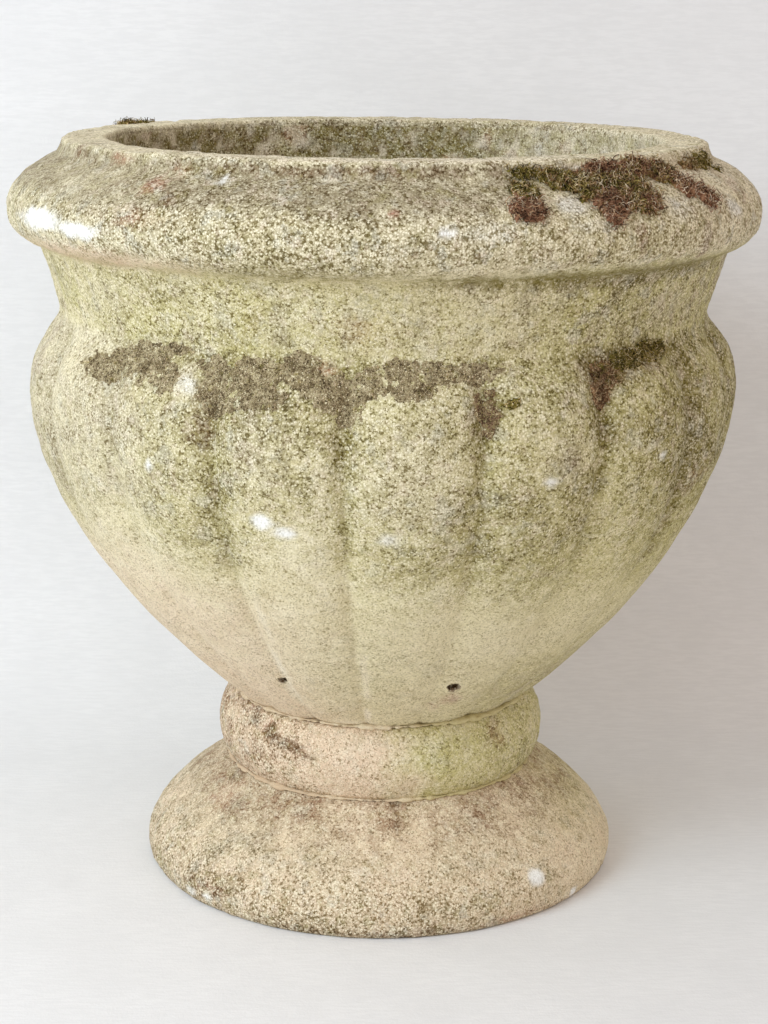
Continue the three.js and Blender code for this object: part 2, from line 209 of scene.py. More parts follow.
stoneColours = {
    "cream": linear(224, 212, 173),
    "creamLight": linear(239, 229, 195),
    "algae": linear(202, 194, 132),
    "deepAlgaeAndShade": linear(134, 122, 64),
    "warm": linear(228, 203, 174),
    "pale": linear(240, 228, 203),
    "lichen": linear(166, 154, 124),
    "soilAndShade": linear(126, 98, 68),
    "red": linear(176, 130, 104),
    "bleach": linear(250, 249, 242),
    # the next colour paints places washed pale and the painted highlight on each grain
    "paleWashAndHighlight": linear(250, 242, 214),
    "olive": linear(150, 140, 74),
    "grey": linear(196, 194, 180),
    "blush": linear(238, 220, 200),
    # the pit colour is partly dirt and partly painted shade in pits and the gaps between grains
    "pit": (0.34, 0.3, 0.2, 1),  # this and the next multiply what lies under them
    "stain": (0.6, 0.54, 0.4, 1),
}


# scales are in cells per metre
stoneGrain = {"coarse": 690.0, "fine": 1400.0, "shakeScale": 1000.0, "shake": 0.0005, "coarseShare": 0.72}
# layers over the whole stone, each from its own attribute: how much the patchy noise breaks it up
stoneLayers = {
    "warm": 0.6, "algae": 0.9, "deepAlgaeAndShade": 1.1, "lichen": 1.2, "red": 1.0, "soilAndShade": 1.2, "pale": 0.5,
}
# blotches of about a centimetre: lichen colours on worn faces, then damp stains and places washed pale
# scale, offset, where the noise starts and is full, share on plain stone, more on worn stone, blend
stoneBlotches = {
    "olive": (95.0, 12.3, 0.52, 0.64, 0.03, 0.5, "MIX"),
    "grey": (70.0, 15.9, 0.53, 0.64, 0.0, 0.6, "MIX"),
    "blush": (110.0, 19.2, 0.53, 0.64, 0.05, 0.4, "MIX"),
    "stain": (62.0, 5.5, 0.5, 0.68, 0.14, 0.42, "MULTIPLY"),
    "paleWashAndHighlight": (120.0, 9.1, 0.52, 0.68, 0.15, 0.45, "MIX"),
}


def stoneMaterial(name, colours, grain):
    material, g, place, shader = newMaterial(name)
    erosion = g.attribute("erosion")

    # grains about 1.5 mm across with finer ones between them, their outlines shaken by a noise
    shake = {"Vector": place, "Scale": grain["shakeScale"], "Detail": 1.0}
    shaken = g.add("ShaderNodeTexNoise", shake, output=1)
    shaken = g.add("ShaderNodeVectorMath", {0: shaken, 1: (-0.5,) * 3}, operation="ADD")
    shaken = g.add("ShaderNodeVectorMath", {0: shaken, 1: (grain["shake"],) * 3, 2: place},
                   operation="MULTIPLY_ADD")

    def grains(scale):
        cells = g.tree.nodes.new("ShaderNodeTexVoronoi")
        g.put(cells.inputs["Vector"], shaken)
        cells.inputs["Scale"].default_value = scale
        return g.add("ShaderNodeSeparateColor", {0: cells.outputs["Color"]}), cells.outputs["Distance"]

    coarse, coarseGap = grains(grain["coarse"])
    fine = grains(grain["fine"])[0]
    share = grain["coarseShare"]
    tone = g.math("ADD", g.math("MULTIPLY", coarse, share), g.math("MULTIPLY", fine, 1 - share))
    patchy = g.noise(place, 105.0, 3.0, 0.6, 8.3)
    mottle = g.noise(place, 30.0, 4.0, 0.6, 1.7)
    cluster = g.noise(place, 260.0, 2.0, 0.6, 3.1)
    edge = g.swing(cluster, 0.3, g.math("MULTIPLY_ADD", erosion, 0.19, 0.14))
    edge = g.swing(patchy, 0.2, edge)
    pit = g.mapRange(g.math("SUBTRACT", edge, tone), -0.05, 0.1)
    gap = g.mapRange(g.swing(cluster, 0.35, coarseGap), 0.42, 0.68)

    # broad colour first, each layer broken up by the patchy noise
    colour = g.mix(g.mapRange(mottle, 0.3, 0.72), colours["cream"], colours["creamLight"])

    def layer(base, attribute, spread):
        amount = g.attribute(attribute)
        broken = g.swing(tone, -0.25 * spread, g.swing(patchy, spread, amount))
        broken = g.math("MULTIPLY", g.mapRange(broken, 0.0, 1.0), g.mapRange(amount, 0.0, 0.1))
        return g.mix(broken, base, colours[attribute])

    for key, spread in stoneLayers.items():
        colour = layer(colour, key, spread)
    for key, (scale, offset, low, high, plain, more, blend) in stoneBlotches.items():
        spread = g.mapRange(g.noise(place, scale, 5.0, 0.65, offset), low, high)
        colour = g.mix(g.worn(spread, erosion, more, plain), colour, colours[key], blend)

    # each grain has its own tone, stronger where the face has worn, with a painted highlight brightest at
    # the grain's middle and fading towards its edge
    grainDomeHighlight = g.mapRange(coarseGap, 0.5, 0.2, 0.35, 1.0)
    grainDomeHighlight = g.math("MULTIPLY", grainDomeHighlight, g.mapRange(g.attribute("lichen"), 0.4, 1.0, 1.0, 0.5))
    light = g.math("MULTIPLY", g.worn(g.mapRange(tone, 0.4, 0.8), erosion, 0.55, 0.3), grainDomeHighlight)
    colour = g.mix(light, colour, colours["paleWashAndHighlight"])
    # pits and the gaps between grains, which the bump sinks, are darkened with the pit colour: partly dirt,
    # partly painted shade; fine dark specks join the same mask
    depth = g.worn(pit, erosion, 0.5, 0.68, True)
    depth = g.math("MAXIMUM", depth, g.worn(gap, erosion, 0.46, 0.1))
    depth = g.math("MAXIMUM", depth, g.mapRange(fine, 0.08, 0.2, 0.6, 0.0))
    depth = g.math("MULTIPLY", depth, g.mapRange(g.attribute("bleach"), 0.3, 1.0, 1.0, 0.3))
    colour = layer(colour, "bleach", 0.5)
    colour = g.mix(depth, colour, colours["pit"], "MULTIPLY")

    height = g.math("MULTIPLY", g.mapRange(coarseGap, 0.1, 0.75, 1.0, 0.0), 0.7)
    height = g.worn(g.math("SUBTRACT", height, pit), erosion, 0.7, 0.3)
    height = g.math("MULTIPLY_ADD", patchy, 1.2, height)
    dress(g, shader, colour, (height, 0.6, 0.0008), g.mapRange(depth, 0.0, 1.0, 0.84, 0.97))
    return material


# turned meshes and their marks


def bezier(points, steps=60):
    t = np.linspace(0, 1, steps)[:, None]
    p = np.array(points, float)
    if len(p) == 3:
        return (1 - t) ** 2 * p[0] + 2 * (1 - t) * t * p[1] + t ** 2 * p[2]
    return (1 - t) ** 3 * p[0] + 3 * (1 - t) ** 2 * t * p[1] + 3 * (1 - t) * t ** 2 * p[2] + t ** 3 * p[3]


def evenly(points, spacing):
    # the same line with points at even steps
    points = np.array(points, float)
    along = np.concatenate([[0], np.cumsum(np.hypot(*np.diff(points, axis=0).T))])
    count = max(2, int(round(along[-1] / spacing)) + 1)
    at = np.linspace(0, along[-1], count)
    return np.stack([np.interp(at, along, points[:, k]) for k in (0, 1)], 1)


def joined(*stretches):
    rows = [stretches[0]]
    for stretch in stretches[1:]:
        same = np.hypot(*(stretch[0] - rows[-1][-1])) < 1e-6
        rows.append(stretch[1:] if same else stretch)
    return np.concatenate(rows)


def ramp(value, low, high):
    t = np.clip((value - low) / (high - low), 0, 1)
    return t * t * (3 - 2 * t)


def band(value, low, full, falls, gone):
    return ramp(value, low, full) * (1 - ramp(value, falls, gone))


def sideRamp(azimuth, low, full):
    # rises between two azimuths and fades out at the back, where azimuths jump from 180 to -180
    return band(azimuth, low, full, 130, 175)


def fieldNoise(points, size, seed, stretch=1.0):
    # smooth noise from -1 to 1 at points in millimetres, in lumps about that size, taller by stretch
    shift = Vector((seed * 13.7, seed * 5.1, -seed * 9.3))
    scaled = points / (size, size, size * stretch)
    return np.array([noise.noise(Vector(p) + shift) for p in scaled])


def fieldNoises(points, sizes, seed):
    return [fieldNoise(points, size, seed + k) for k, size in enumerate(sizes)]


def turnFrom(azimuth, centre):
    # how far an azimuth is past a centre, from -180 to 180 degrees
    return np.mod(azimuth - centre + 180, 360) - 180


def columnsOf(count):
    azimuths = np.arange(count) * 360 / count
    return np.where(azimuths > 180, azimuths - 360, azimuths)


def ringPoints(radius, azimuths, height):
    turn = np.radians(azimuths)
    return np.stack(np.broadcast_arrays(radius * np.sin(turn), -radius * np.cos(turn), height), -1)


def aroundAxis(points):
    # radius, azimuth and height of each point
    x, y, z = points.T
    return np.hypot(x, y), np.degrees(np.arctan2(x, -y)), z


def gridNormals(grid):
    # outward normals of a grid of points that closes round its columns
    around = np.roll(grid, -1, 1) - np.roll(grid, 1, 1)
    normal = np.cross(around, np.gradient(grid, axis=0))
    return normal / np.maximum(np.linalg.norm(normal, axis=2, keepdims=True), 1e-9)


def meshObject(name, points, faces, values):
    mesh = bpy.data.meshes.new(name)
    mesh.from_pydata((points * mm).tolist(), [], faces)
    for key, value in values.items():
        shares = np.clip(value, 0, 1).astype(np.float32)
        mesh.attributes.new(key, "FLOAT", "POINT").data.foreach_set("value", shares)
    mesh.polygons.foreach_set("use_smooth", [True] * len(mesh.polygons))
    mesh.update()
    obj = bpy.data.objects.new(name, mesh)
    bpy.context.scene.collection.objects.link(obj)
    return obj


def gridMesh(name, grid, values, ring=False):
    # a closed mesh from rings of points: a middle point caps each end, or the last ring joins the first
    rows, columns = grid.shape[:2]
    points = grid.reshape(-1, 3)
    i, j = np.meshgrid(np.arange(rows if ring else rows - 1), np.arange(columns), indexing="ij")
    below, above = i * columns, ((i + 1) % rows) * columns
    after = (j + 1) % columns
    faces = np.stack([below + j, below + after, above + after, above + j], -1).reshape(-1, 4).tolist()
    if not ring:
        first, last, top = len(points), len(points) + 1, (rows - 1) * columns
        points = np.concatenate([points, [grid[0].mean(0)], [grid[-1].mean(0)]])
        for key, value in values.items():
            values[key] = np.concatenate([value, [value[:columns].mean()], [value[-columns:].mean()]])
        faces += [[first, (k + 1) % columns, k] for k in range(columns)]
        faces += [[last, top + k, top + (k + 1) % columns] for k in range(columns)]
    return meshObject(name, points, faces, values)


spotRadius = 240  # the radius at which the widths of spots and of moss are measured


def patch(azimuth, height, spot, warp):
    # 1 in the middle of a spot and 0 past its ragged edge
    centre, level, halfWidth, halfHeight, strength = (*spot, 1)[:5]
    across = turnFrom(azimuth, centre) / np.degrees(halfWidth / spotRadius)
    up = (height - level) / halfHeight
    return strength * np.clip(1.5 - np.hypot(across, up) + warp, 0, 1)


def stoneValues(count):
    names = ("erosion", "warm", "algae", "deepAlgaeAndShade", "lichen", "red", "soilAndShade", "pale", "bleach")
    return {name: np.zeros(count) for name in names}


def addSpots(values, spots, azimuth, height, warp, where=1):
    for key, places in spots.items():
        for spot in places:
            values[key] = np.maximum(values[key], patch(azimuth, height, spot, warp) * where)


def pits(points, count, sizes, depths, allowed, seed):
    # how far each point is pushed in by round pits scattered where allowed says
    rng = np.random.default_rng(seed)
    tree = kdtree.KDTree(len(points))
    for k, p in enumerate(points):
        tree.insert(p, k)
    tree.balance()
    push = np.zeros(len(points))
    for k in rng.choice(len(points), count, p=allowed / allowed.sum()):
        size = rng.uniform(*sizes)
        depth = rng.uniform(*depths)
        centre = points[k] + rng.normal(0, 1.0, 3)
        for _, near, distance in tree.find_range(centre, size):
            push[near] = max(push[near], depth * (1 - (distance / size) ** 2) ** 1.5)
    return push


def pushed(grid, push):
    # the grid with each point moved along its normal
    return grid + gridNormals(grid) * push.reshape(grid.shape[:2])[..., None]


# bowl

bowl = {
    "level": 131, "baseRadius": 109, "bellyRadius": 249, "bellyHeight": 352, "bellyStraight": 15,
    "undersideRun": 134.5, "undersideRise": 115.5,
    "creaseRadius": 226.6, "creaseHeight": 411, "shoulderFullness": 43, "shoulderCorner": 16,
    "neckTopRadius": 240, "neckTopHeight": 456, "neckHollow": 1.5,
    "noseRadius": 260.5, "noseHeight": 480, "rimFullness": 22.5,
    "lipRadius": 222.5, "lipFootHeight": 515, "lipShelf": 2.5, "lipTop": 525.4, "lipRounding": 3.5,
    "lipWidth": 31.5,
    "wallWidth": 46, "floorHeight": 176, "floorCorner": 12, "floorMiddle": 20, "seenDownTo": 440,
    "pocketRadius": 13, "pocketDepth": 22,
    "columns": 440, "spacing": 3.4, "insideSpacing": 12,
    "lumps": (85, 24, 9, 4.5), "streaks": 12, "pits": 3200, "pitRadii": (2.4, 5.5), "pitDepths": (0.4, 1.6),
    "pitSeed": 11, "proudest": 1.2, "proudestLip": 0.1,
}
lobes = {
    "count": 18, "firstGroove": -5.4, "depth": 10, "depthAtBase": 4.5, "archDrop": 16, "fade": 34,
    "sharpness": 0.97,
}
weepHoles = {
    "height": 170.5, "tilt": 35, "length": 130, "sides": 28, "darkTo": 60,
    "places": ((-26.3, 2.7), (19.1, 4.3)),  # azimuth and radius
}

# marks on the bowl: azimuth, height, half width, half height, and strength where it isn't 1
bowlSpots = {
    "bleach": [
        (-57, 481, 24, 6), (-47, 478, 18, 5), (-18, 306, 8, 5), (-14.4, 300, 8, 4), (1, 298, 7, 5, 0.6),
        (24.8, 332, 6, 4, 0.8), (46, 338, 4, 3, 0.8), (-36, 336, 3, 4, 0.9), (-24.6, 512, 3, 2, 0.8),
        (8.1, 487, 4, 3, 0.9), (61, 491, 9, 6, 0.6), (-30, 388, 5, 6, 0.6), (-33, 387, 6, 3, 0.5),
        (14, 486, 16, 5, 0.35), (30, 489, 22, 4, 0.35), (26.5, 501, 8, 6, 0.5), (45, 495, 14, 8, 0.35),
        (34, 520, 20, 2, 0.5),
    ],
    # the broad spots at azimuths -45, -46 and -50 on the lobes and neck, which face the lamp, are painted
    # light
    "pale": [
        (-22.6, 225, 5, 24, 0.6), (-24.2, 188, 7, 20, 0.9), (-25.4, 160, 8, 18, 0.9),
        (-3.6, 180, 6, 38, 0.6), (-4.2, 142, 6, 8, 0.9), (-10, 133, 40, 3, 0.7),
        (-31, 389, 8, 12, 0.6), (-40, 350, 18, 40, 0.4), (-57, 480, 40, 12, 0.2), (-18, 350, 26, 26, 0.3),
        (0, 525.4, 170, 1.5, 0.7), (0, 525.4, 900, 1.2, 0.3),
        (5, 340, 30, 30, 0.25), (-45, 368, 28, 26, 0.5), (-46, 318, 28, 26, 0.45), (-50, 435, 40, 16, 0.35),
        (50, 432, 70, 16, 0.25),
    ],
    "lichen": [
        (-3, 505, 80, 13, 0.8), (-30.3, 507, 6, 5, 1.2), (-24, 514, 4, 3, 1.0), (-9.5, 504, 22, 6, 1.0),
        (-15, 513, 26, 4, 0.7), (-44, 503, 40, 14, 0.75), (12, 509, 20, 6, 0.8), (27, 345, 18, 14, 0.5),
        (-55, 512, 20, 6, 0.6), (55, 500, 30, 14, 0.5), (-40, 485, 70, 10, 0.35),
    ],
    "red": [
        (-35.9, 508, 9, 5, 0.9), (-33, 516, 8, 4, 0.6), (-47, 521, 12, 4, 0.6), (-35.6, 488, 10, 5, 0.5),
        (1.2, 498, 4, 2, 1.0), (-4.3, 426, 10, 8, 0.3), (20, 158, 14, 6, 0.6), (17, 150, 12, 5, 0.4),
        (60, 315, 14, 10, 0.25), (36.6, 483, 3, 7, 0.9), (51, 476, 4, 10, 1.0),
        (66.7, 500, 9, 9, 0.9), (-38, 402, 8, 5, 0.7), (-9, 402, 10, 5, 0.6),
    ],
    "soilAndShade": [
        (-62, 521, 4, 4, 1.0), (36.6, 483, 3, 7, 0.6), (51, 476, 5, 9, 0.9), (66.7, 500, 8, 9, 0.8),
        (-27, 366, 9, 20, 0.5), (-5, 519, 90, 4, 0.6), (-40, 508, 40, 5, 0.25), (20.2, 162, 8, 4, 0.35),
        (24, 157, 8, 6, 0.3), (-31, 501, 4, 4, 0.9), (-73, 388, 10, 22, 0.6), (41, 397, 40, 9, 0.5),
    ],
    "algae": [
        (-64, 432, 40, 18, 0.8), (-42, 426, 26, 14, 0.5), (-72, 350, 26, 40, 0.8), (-26, 436, 16, 16, 0.4),
        (20, 440, 60, 10, 0.4), (-58, 326, 14, 30, 0.6), (-66, 300, 20, 30, 0.6),
    ],
    "warm": [
        (-48, 462, 80, 7, 0.9), (-2, 428, 20, 14, 0.5), (-38, 492, 50, 8, 0.5), (-45, 378, 28, 14, 0.7),
    ],
    # the dark olive bands at heights 455 and 462, under the rim's overhang, are partly algae and partly
    # painted shade under the rim
    "deepAlgaeAndShade": [
        (-25, 518, 56, 4, 0.9), (5, 518, 50, 4, 0.95), (-73, 386, 16, 30, 0.6), (-55, 353, 10, 26, 0.5),
        (-50, 492, 60, 8, 0.4), (-46.6, 328, 9, 24, 0.6), (40, 455, 130, 7, 1.0), (-12, 462, 70, 5, 0.5),
        (-36, 444, 26, 12, 0.4), (-68, 440, 20, 12, 0.5), (-5, 508, 66, 6, 0.85), (45, 396, 40, 12, 0.5),
    ],
}


def bowlUnderside(b):
    return bezier([
        (b["baseRadius"], b["level"]),
        (b["baseRadius"] + b["undersideRun"], b["level"] + b["undersideRise"]),
        (b["bellyRadius"], b["bellyHeight"] - b["bellyStraight"]),
        (b["bellyRadius"], b["bellyHeight"]),
    ])


def bowlOutline(b):
    # radius and height from the dowel's pocket, up the outside, over the lip and down the inside
    underside = bowlUnderside(b)
    shoulder = bezier([
        (b["bellyRadius"], b["bellyHeight"]),
        (b["bellyRadius"], b["bellyHeight"] + b["shoulderFullness"]),
        (b["creaseRadius"], b["creaseHeight"] - b["shoulderCorner"]),
        (b["creaseRadius"], b["creaseHeight"]),
    ])
    neckMiddle = (b["creaseRadius"] + b["neckTopRadius"]) / 2, (b["creaseHeight"] + b["neckTopHeight"]) / 2
    neck = bezier([
        (b["creaseRadius"], b["creaseHeight"]),
        (neckMiddle[0] - b["neckHollow"], neckMiddle[1]),
        (b["neckTopRadius"], b["neckTopHeight"]),
    ])
    underRim = bezier([
        (b["neckTopRadius"], b["neckTopHeight"]),
        (b["noseRadius"], b["neckTopHeight"] + (b["noseHeight"] - b["neckTopHeight"]) / 4),
        (b["noseRadius"], b["noseHeight"]),
    ])
    lipFoot = b["lipRadius"] + b["lipShelf"]
    rim = bezier([
        (b["noseRadius"], b["noseHeight"]),
        (b["noseRadius"], b["noseHeight"] + b["rimFullness"]),
        (lipFoot, b["lipFootHeight"] - b["lipShelf"] / 2),
        (lipFoot, b["lipFootHeight"]),
    ])
    rounding = b["lipRounding"]
    lipEdge = bezier([
        (b["lipRadius"], b["lipTop"] - rounding),
        (b["lipRadius"], b["lipTop"]),
        (b["lipRadius"] - rounding, b["lipTop"]),
    ])
    mouth = b["lipRadius"] - b["lipWidth"]
    innerEdge = bezier([
        (mouth + rounding, b["lipTop"]),
        (mouth, b["lipTop"]),
        (mouth, b["lipTop"] - rounding),
    ])
    outside = evenly(joined(underside, shoulder, neck, underRim, rim, lipEdge, innerEdge), b["spacing"])
    heights = np.linspace(b["lipTop"] - rounding - b["spacing"], b["floorHeight"] + b["floorCorner"], 200)
    wall = np.interp(heights, underside[:, 1], underside[:, 0]) - b["wallWidth"]
    inside = np.stack([np.minimum(mouth, wall), heights], 1)
    corner = bezier([
        inside[-1],
        (inside[-1][0] - b["floorCorner"] / 3, b["floorHeight"]),
        (inside[-1][0] - b["floorCorner"] * 1.5, b["floorHeight"]),
    ])
    middle = np.array([(inside[-1][0] / 2, b["floorHeight"]), (b["floorMiddle"], b["floorHeight"])])
    shown = inside[:, 1] > b["seenDownTo"]
    upper = evenly(inside[shown], b["spacing"] * 1.2)
    lower = evenly(joined(inside[~shown], corner, middle), b["insideSpacing"])
    pocket = np.array([
        (b["pocketRadius"] * 0.5, b["level"] + b["pocketDepth"]),
        (b["pocketRadius"], b["level"] + b["pocketDepth"]),
        (b["pocketRadius"], b["level"]),
        (b["baseRadius"] * 0.6, b["level"]),
    ])
    return joined(pocket, outside, upper, lower), len(pocket), len(pocket) + len(outside)


def lobedGrid(outline, azimuths, first, last, b, l):
    # sinks the grooves into the outside rows and arches the lobe tops
    turns = (azimuths - l["firstGroove"]) * l["count"] / 360
    across = 1 - 2 * np.abs(turns - np.round(turns))
    rng = np.random.default_rng(4)
    wander = rng.uniform(0.85, 1.15, l["count"])[np.round(turns).astype(int) % l["count"]]
    height = outline[:, 1][:, None]
    below = height < b["creaseHeight"]
    fade = ramp((b["creaseHeight"] - height) / l["fade"], 0, 1) * below
    climb = np.sqrt(np.clip((height - b["level"]) / (b["bellyHeight"] - b["level"]), 0, 1))
    depth = fade * (l["depthAtBase"] + (l["depth"] - l["depthAtBase"]) * climb)
    sink = depth * (1 - np.sqrt(1 - l["sharpness"] * across[None, :] ** 2)) * wander[None, :]
    shoulder = np.clip((height - b["bellyHeight"]) / (b["creaseHeight"] - b["bellyHeight"]), 0, 1)
    arch = l["archDrop"] * across[None, :] ** 4 * shoulder * (1 - shoulder) * 2 * below
    row = np.arange(len(outline))[:, None]
    keep = (row >= first) & (row < last)
    radius = outline[:, 0][:, None] - sink * keep
    return ringPoints(radius, azimuths, height - arch * keep), across


def bowlMarks(azimuth, height, across, inside, fields, streak):
    broad, middling, small, fine = fields
    warp = 0.3 * middling + 0.3 * small + 0.25 * fine
    values = stoneValues(len(azimuth))
    rimZone = ramp(height, 454, 470)
    slope = ramp(height, 490, 502)
    lobeZone = band(height, 225, 345, 406, 412)
    neckZone = band(height, 408, 414, 452, 460)
    right = band(azimuth, 5, 60, 120, 170)
    left = band(-azimuth, 45, 80, 120, 170)
    groove = ramp(across, 0.62, 1.0)

    values["erosion"] = (
        0.12 + 0.85 * rimZone - 0.25 * slope + 0.52 * lobeZone + (0.42 + 0.2 * right) * neckZone
        + 0.2 * middling + 0.15 * broad - sideRamp(-azimuth, 25, 60) * (0.3 * rimZone + 0.15 * lobeZone)
        - 0.3 * band(height, 450, 456, 462, 470)
    )
    lowLeft = band(-azimuth, -12, 40, 110, 160) * (1 - ramp(height, 205, 315))
    values["warm"] = (
        0.6 * lowLeft + 0.2 * (1 - ramp(height, 160, 200)) + 0.12 * middling
        + 0.35 * neckZone * np.clip(0.3 - streak, 0, 1)
    )
    values["algae"] = (
        0.42 + 0.3 * broad + 0.38 * right + 0.16 * neckZone - 0.3 * rimZone - 0.5 * lowLeft
        + (0.12 + 0.2 * groove) * lobeZone
    )
    # the grooves between lobes get more of the dark olive colour: partly algae, partly painted shade in the
    # grooves
    values["deepAlgaeAndShade"] = (
        0.06 + 0.3 * broad + 0.26 * right * (1 - rimZone) + 0.5 * groove * lobeZone * (0.7 + 0.5 * middling)
        + 0.55 * neckZone * streak - 0.3 * lowLeft + 0.28 * lobeZone * (1 + middling)
        + 0.25 * left * lobeZone
    )
    onLip = ramp(height, 522, 524.5)
    values["lichen"] = (
        0.62 * slope + 0.35 * slope * middling + (0.25 - 0.35 * right) * rimZone
        + 0.2 * lobeZone * (broad + 0.5) + 0.3 * neckZone * (middling + streak)
    ) * (1 - 0.8 * right * ramp(-height, -472, -462)) * (1 - 0.6 * onLip)
    values["soilAndShade"] = 0.2 * slope * (0.5 + middling) * (1 - onLip) + 0.1 * small * rimZone
    # the lobes on the left, which face the lamp, are made paler: painted light
    values["pale"] = (
        (0.25 + 0.2 * left + 0.2 * right) * neckZone * np.clip(streak + 0.4, 0, 1)
        + 0.34 * (1 - ramp(height, 200, 300)) + 0.52 * right * rimZone
        + 0.5 * sideRamp(-azimuth, 20, 55) * lobeZone
    )
    addSpots(values, bowlSpots, azimuth, height, warp, ~inside)

    # inside the mouth: darker on the left and behind, painted shade away from the lamp, and paler on the
    # right, painted light where the lamp falls, both broken up by blotches
    litInside = ramp(-np.abs(azimuth - 118), -52, -18)
    blotch = np.clip(0.5 + 0.9 * middling + 0.6 * small, 0, 1)
    white = ramp(middling + 0.6 * small, 0.5, 0.75) * ramp(height, 470, 515)
    within = {
        "erosion": 0.5 + 0.3 * small, "warm": 0.3, "algae": 0.6, "deepAlgaeAndShade": 0.95 - 0.6 * litInside + middling,
        "lichen": 0.1, "red": 0.7 * ramp(broad - middling, 0.3, 0.6),
        "soilAndShade": (0.4 - 0.4 * litInside) * (1 - 0.8 * blotch) + 0.06,
        "pale": 0.6 * litInside * blotch + 0.6 * ramp(-middling - small, 0.05, 0.5), "bleach": 0.4 * white,
    }
    for key, value in within.items():
        values[key] = np.where(inside, value, values[key])
    return values


class Skin:
    # finds points and normals of the bowl's finished outside by azimuth and height
    def __init__(self, grid, heights):
        top = int(np.argmax(heights)) + 1
        self.grid = grid[:top]
        self.heights = heights[:top]
        self.normals = gridNormals(grid)[:top]

    def at(self, azimuth, height):
        rows, columns = self.grid.shape[:2]
        row = np.clip(np.interp(height, self.heights, np.arange(rows)), 0, rows - 1.001)
        column = np.mod(azimuth, 360) * columns / 360
        i, j = row.astype(int), column.astype(int) % columns
        up, along = (row - i)[..., None], (column - np.floor(column))[..., None]
        after = (j + 1) % columns

        def blend(a):
            low = a[i, j] * (1 - along) + a[i, after] * along
            high = a[i + 1, j] * (1 - along) + a[i + 1, after] * along
            return low * (1 - up) + high * up
        normal = blend(self.normals)
        return blend(self.grid), normal / np.linalg.norm(normal, axis=-1, keepdims=True)


def addBowl(b, l):
    outline, first, last = bowlOutline(b)
    azimuths = columnsOf(b["columns"])
    grid, across = lobedGrid(outline, azimuths, first, last, b, l)
    shape = grid.shape[:2]
    flat = grid.reshape(-1, 3)
    height = np.broadcast_to(outline[:, 1][:, None], shape).ravel()
    azimuth = np.broadcast_to(azimuths[None, :], shape).ravel()
    row = np.broadcast_to(np.arange(shape[0])[:, None], shape).ravel()
    outside = (row >= first) & (row < last)
    inside = row >= last
    broad, middling, small, fine = fields = fieldNoises(flat, b["lumps"], 1)
    streak = fieldNoise(flat, b["streaks"], 5, 4.0)
    groove = np.broadcast_to(across[None, :], shape).ravel()
    values = bowlMarks(azimuth, height, groove, inside, fields, streak)

    worn = np.clip(values["erosion"], 0, 1)
    upper = ramp(height, 448, 468)
    push = 1.0 * broad + 0.8 * middling + (0.25 + 0.45 * upper) * small + (0.1 + 0.3 * worn) * fine
    allowed = np.where(outside, worn.clip(0.02, 1) ** 2, 0)
    push -= pits(flat, b["pits"], b["pitRadii"], b["pitDepths"], allowed, b["pitSeed"])
    push = np.where(outside | inside, np.minimum(push, b["proudest"]), 0)
    push = np.where(outside, push * ramp(height, b["level"], b["level"] + 11), push)
    lip = outside & (height > b["lipTop"] - 5)
    push[lip] = np.minimum(push[lip], b["proudestLip"])
    moved = pushed(grid, push)
    return gridMesh("bowlStone", moved, values), Skin(moved[first:last], outline[first:last, 1])


def drillWeepHoles(obj, w, b):
    underside = bowlUnderside(b)
    mouth = np.interp(w["height"], underside[:, 1], underside[:, 0])
    for azimuth, radius in w["places"]:
        bpy.ops.mesh.primitive_cylinder_add(vertices=w["sides"], radius=radius * mm, depth=w["length"] * mm)
        drill = bpy.context.object
        axis = direction(azimuth, -w["tilt"])
        centre = (direction(azimuth, 0) * mouth + Vector((0, 0, w["height"]))) * mm
        drill.rotation_euler = axis.to_track_quat("Z", "Y").to_euler()
        drill.location = centre
        modifier = obj.modifiers.new("weepHole", "BOOLEAN")
        modifier.operation = "DIFFERENCE"
        modifier.solver = "EXACT"
        modifier.object = drill
        bpy.context.view_layer.objects.active = obj
        bpy.ops.object.modifier_apply(modifier=modifier.name)
        bpy.data.objects.remove(drill)
        # damp staining and painted shade darken the inside of the hole
        for k, vertex in enumerate(obj.data.vertices):
            away = vertex.co - centre
            if away.length < w["darkTo"] * mm and away.cross(axis).length < radius * 1.05 * mm:
                for key in ("soilAndShade", "deepAlgaeAndShade", "erosion"):
                    obj.data.attributes[key].data[k].value = 1


# collar and foot

collar = {
    "bottom": 78, "top": 128, "bottomRadius": 112, "middleRadius": 119, "topRadius": 108, "bore": 13,
    "insideRing": 60, "bulgeStart": 12.5, "bulgeEnd": 35, "columns": 300, "spacing": 2.6,
    "lumps": (70, 22, 8, 4), "lumpHeights": (1.0, 0.8, 0.4, 0.25), "pits": 260, "pitDepths": (0.4, 1.6),
    "proudest": 0.9, "edge": 4, "seed": 21,
}
foot = {
    "baseRadius": 167.5, "toeRadius": 172.5, "toeHeight": 14, "toeRise": 18, "topRadius": 112,
    "bottom": 0, "top": 76, "undersideRings": (30, 100, 150), "topRing": 70,
    "slopeRun": 22, "slopeRise": 17, "pocketRadius": 13, "pocketDepth": 40, "columns": 380, "spacing": 2.8,
    "lumps": (75, 24, 8, 4), "lumpHeights": (1.1, 0.9, 0.4, 0.3), "pits": 420, "pitDepths": (0.4, 1.7),
    "proudest": 1.0, "edge": 3, "seed": 31,
}
pitRadii = (2, 6)
collarSpots = {
    "soilAndShade": [(-52, 121, 18, 4, 0.8), (-42, 117, 18, 5, 0.9), (-32, 112, 20, 4, 0.9), (-24, 107, 16, 3, 0.7),
             (46, 118, 10, 7, 0.3)],
    "red": [(46, 117, 16, 10, 0.35), (-44, 119, 26, 8, 0.6), (-30, 112, 20, 6, 0.5), (-70, 90, 30, 10, 0.3)],
    "pale": [(-8, 118, 40, 8, 0.3)],
}
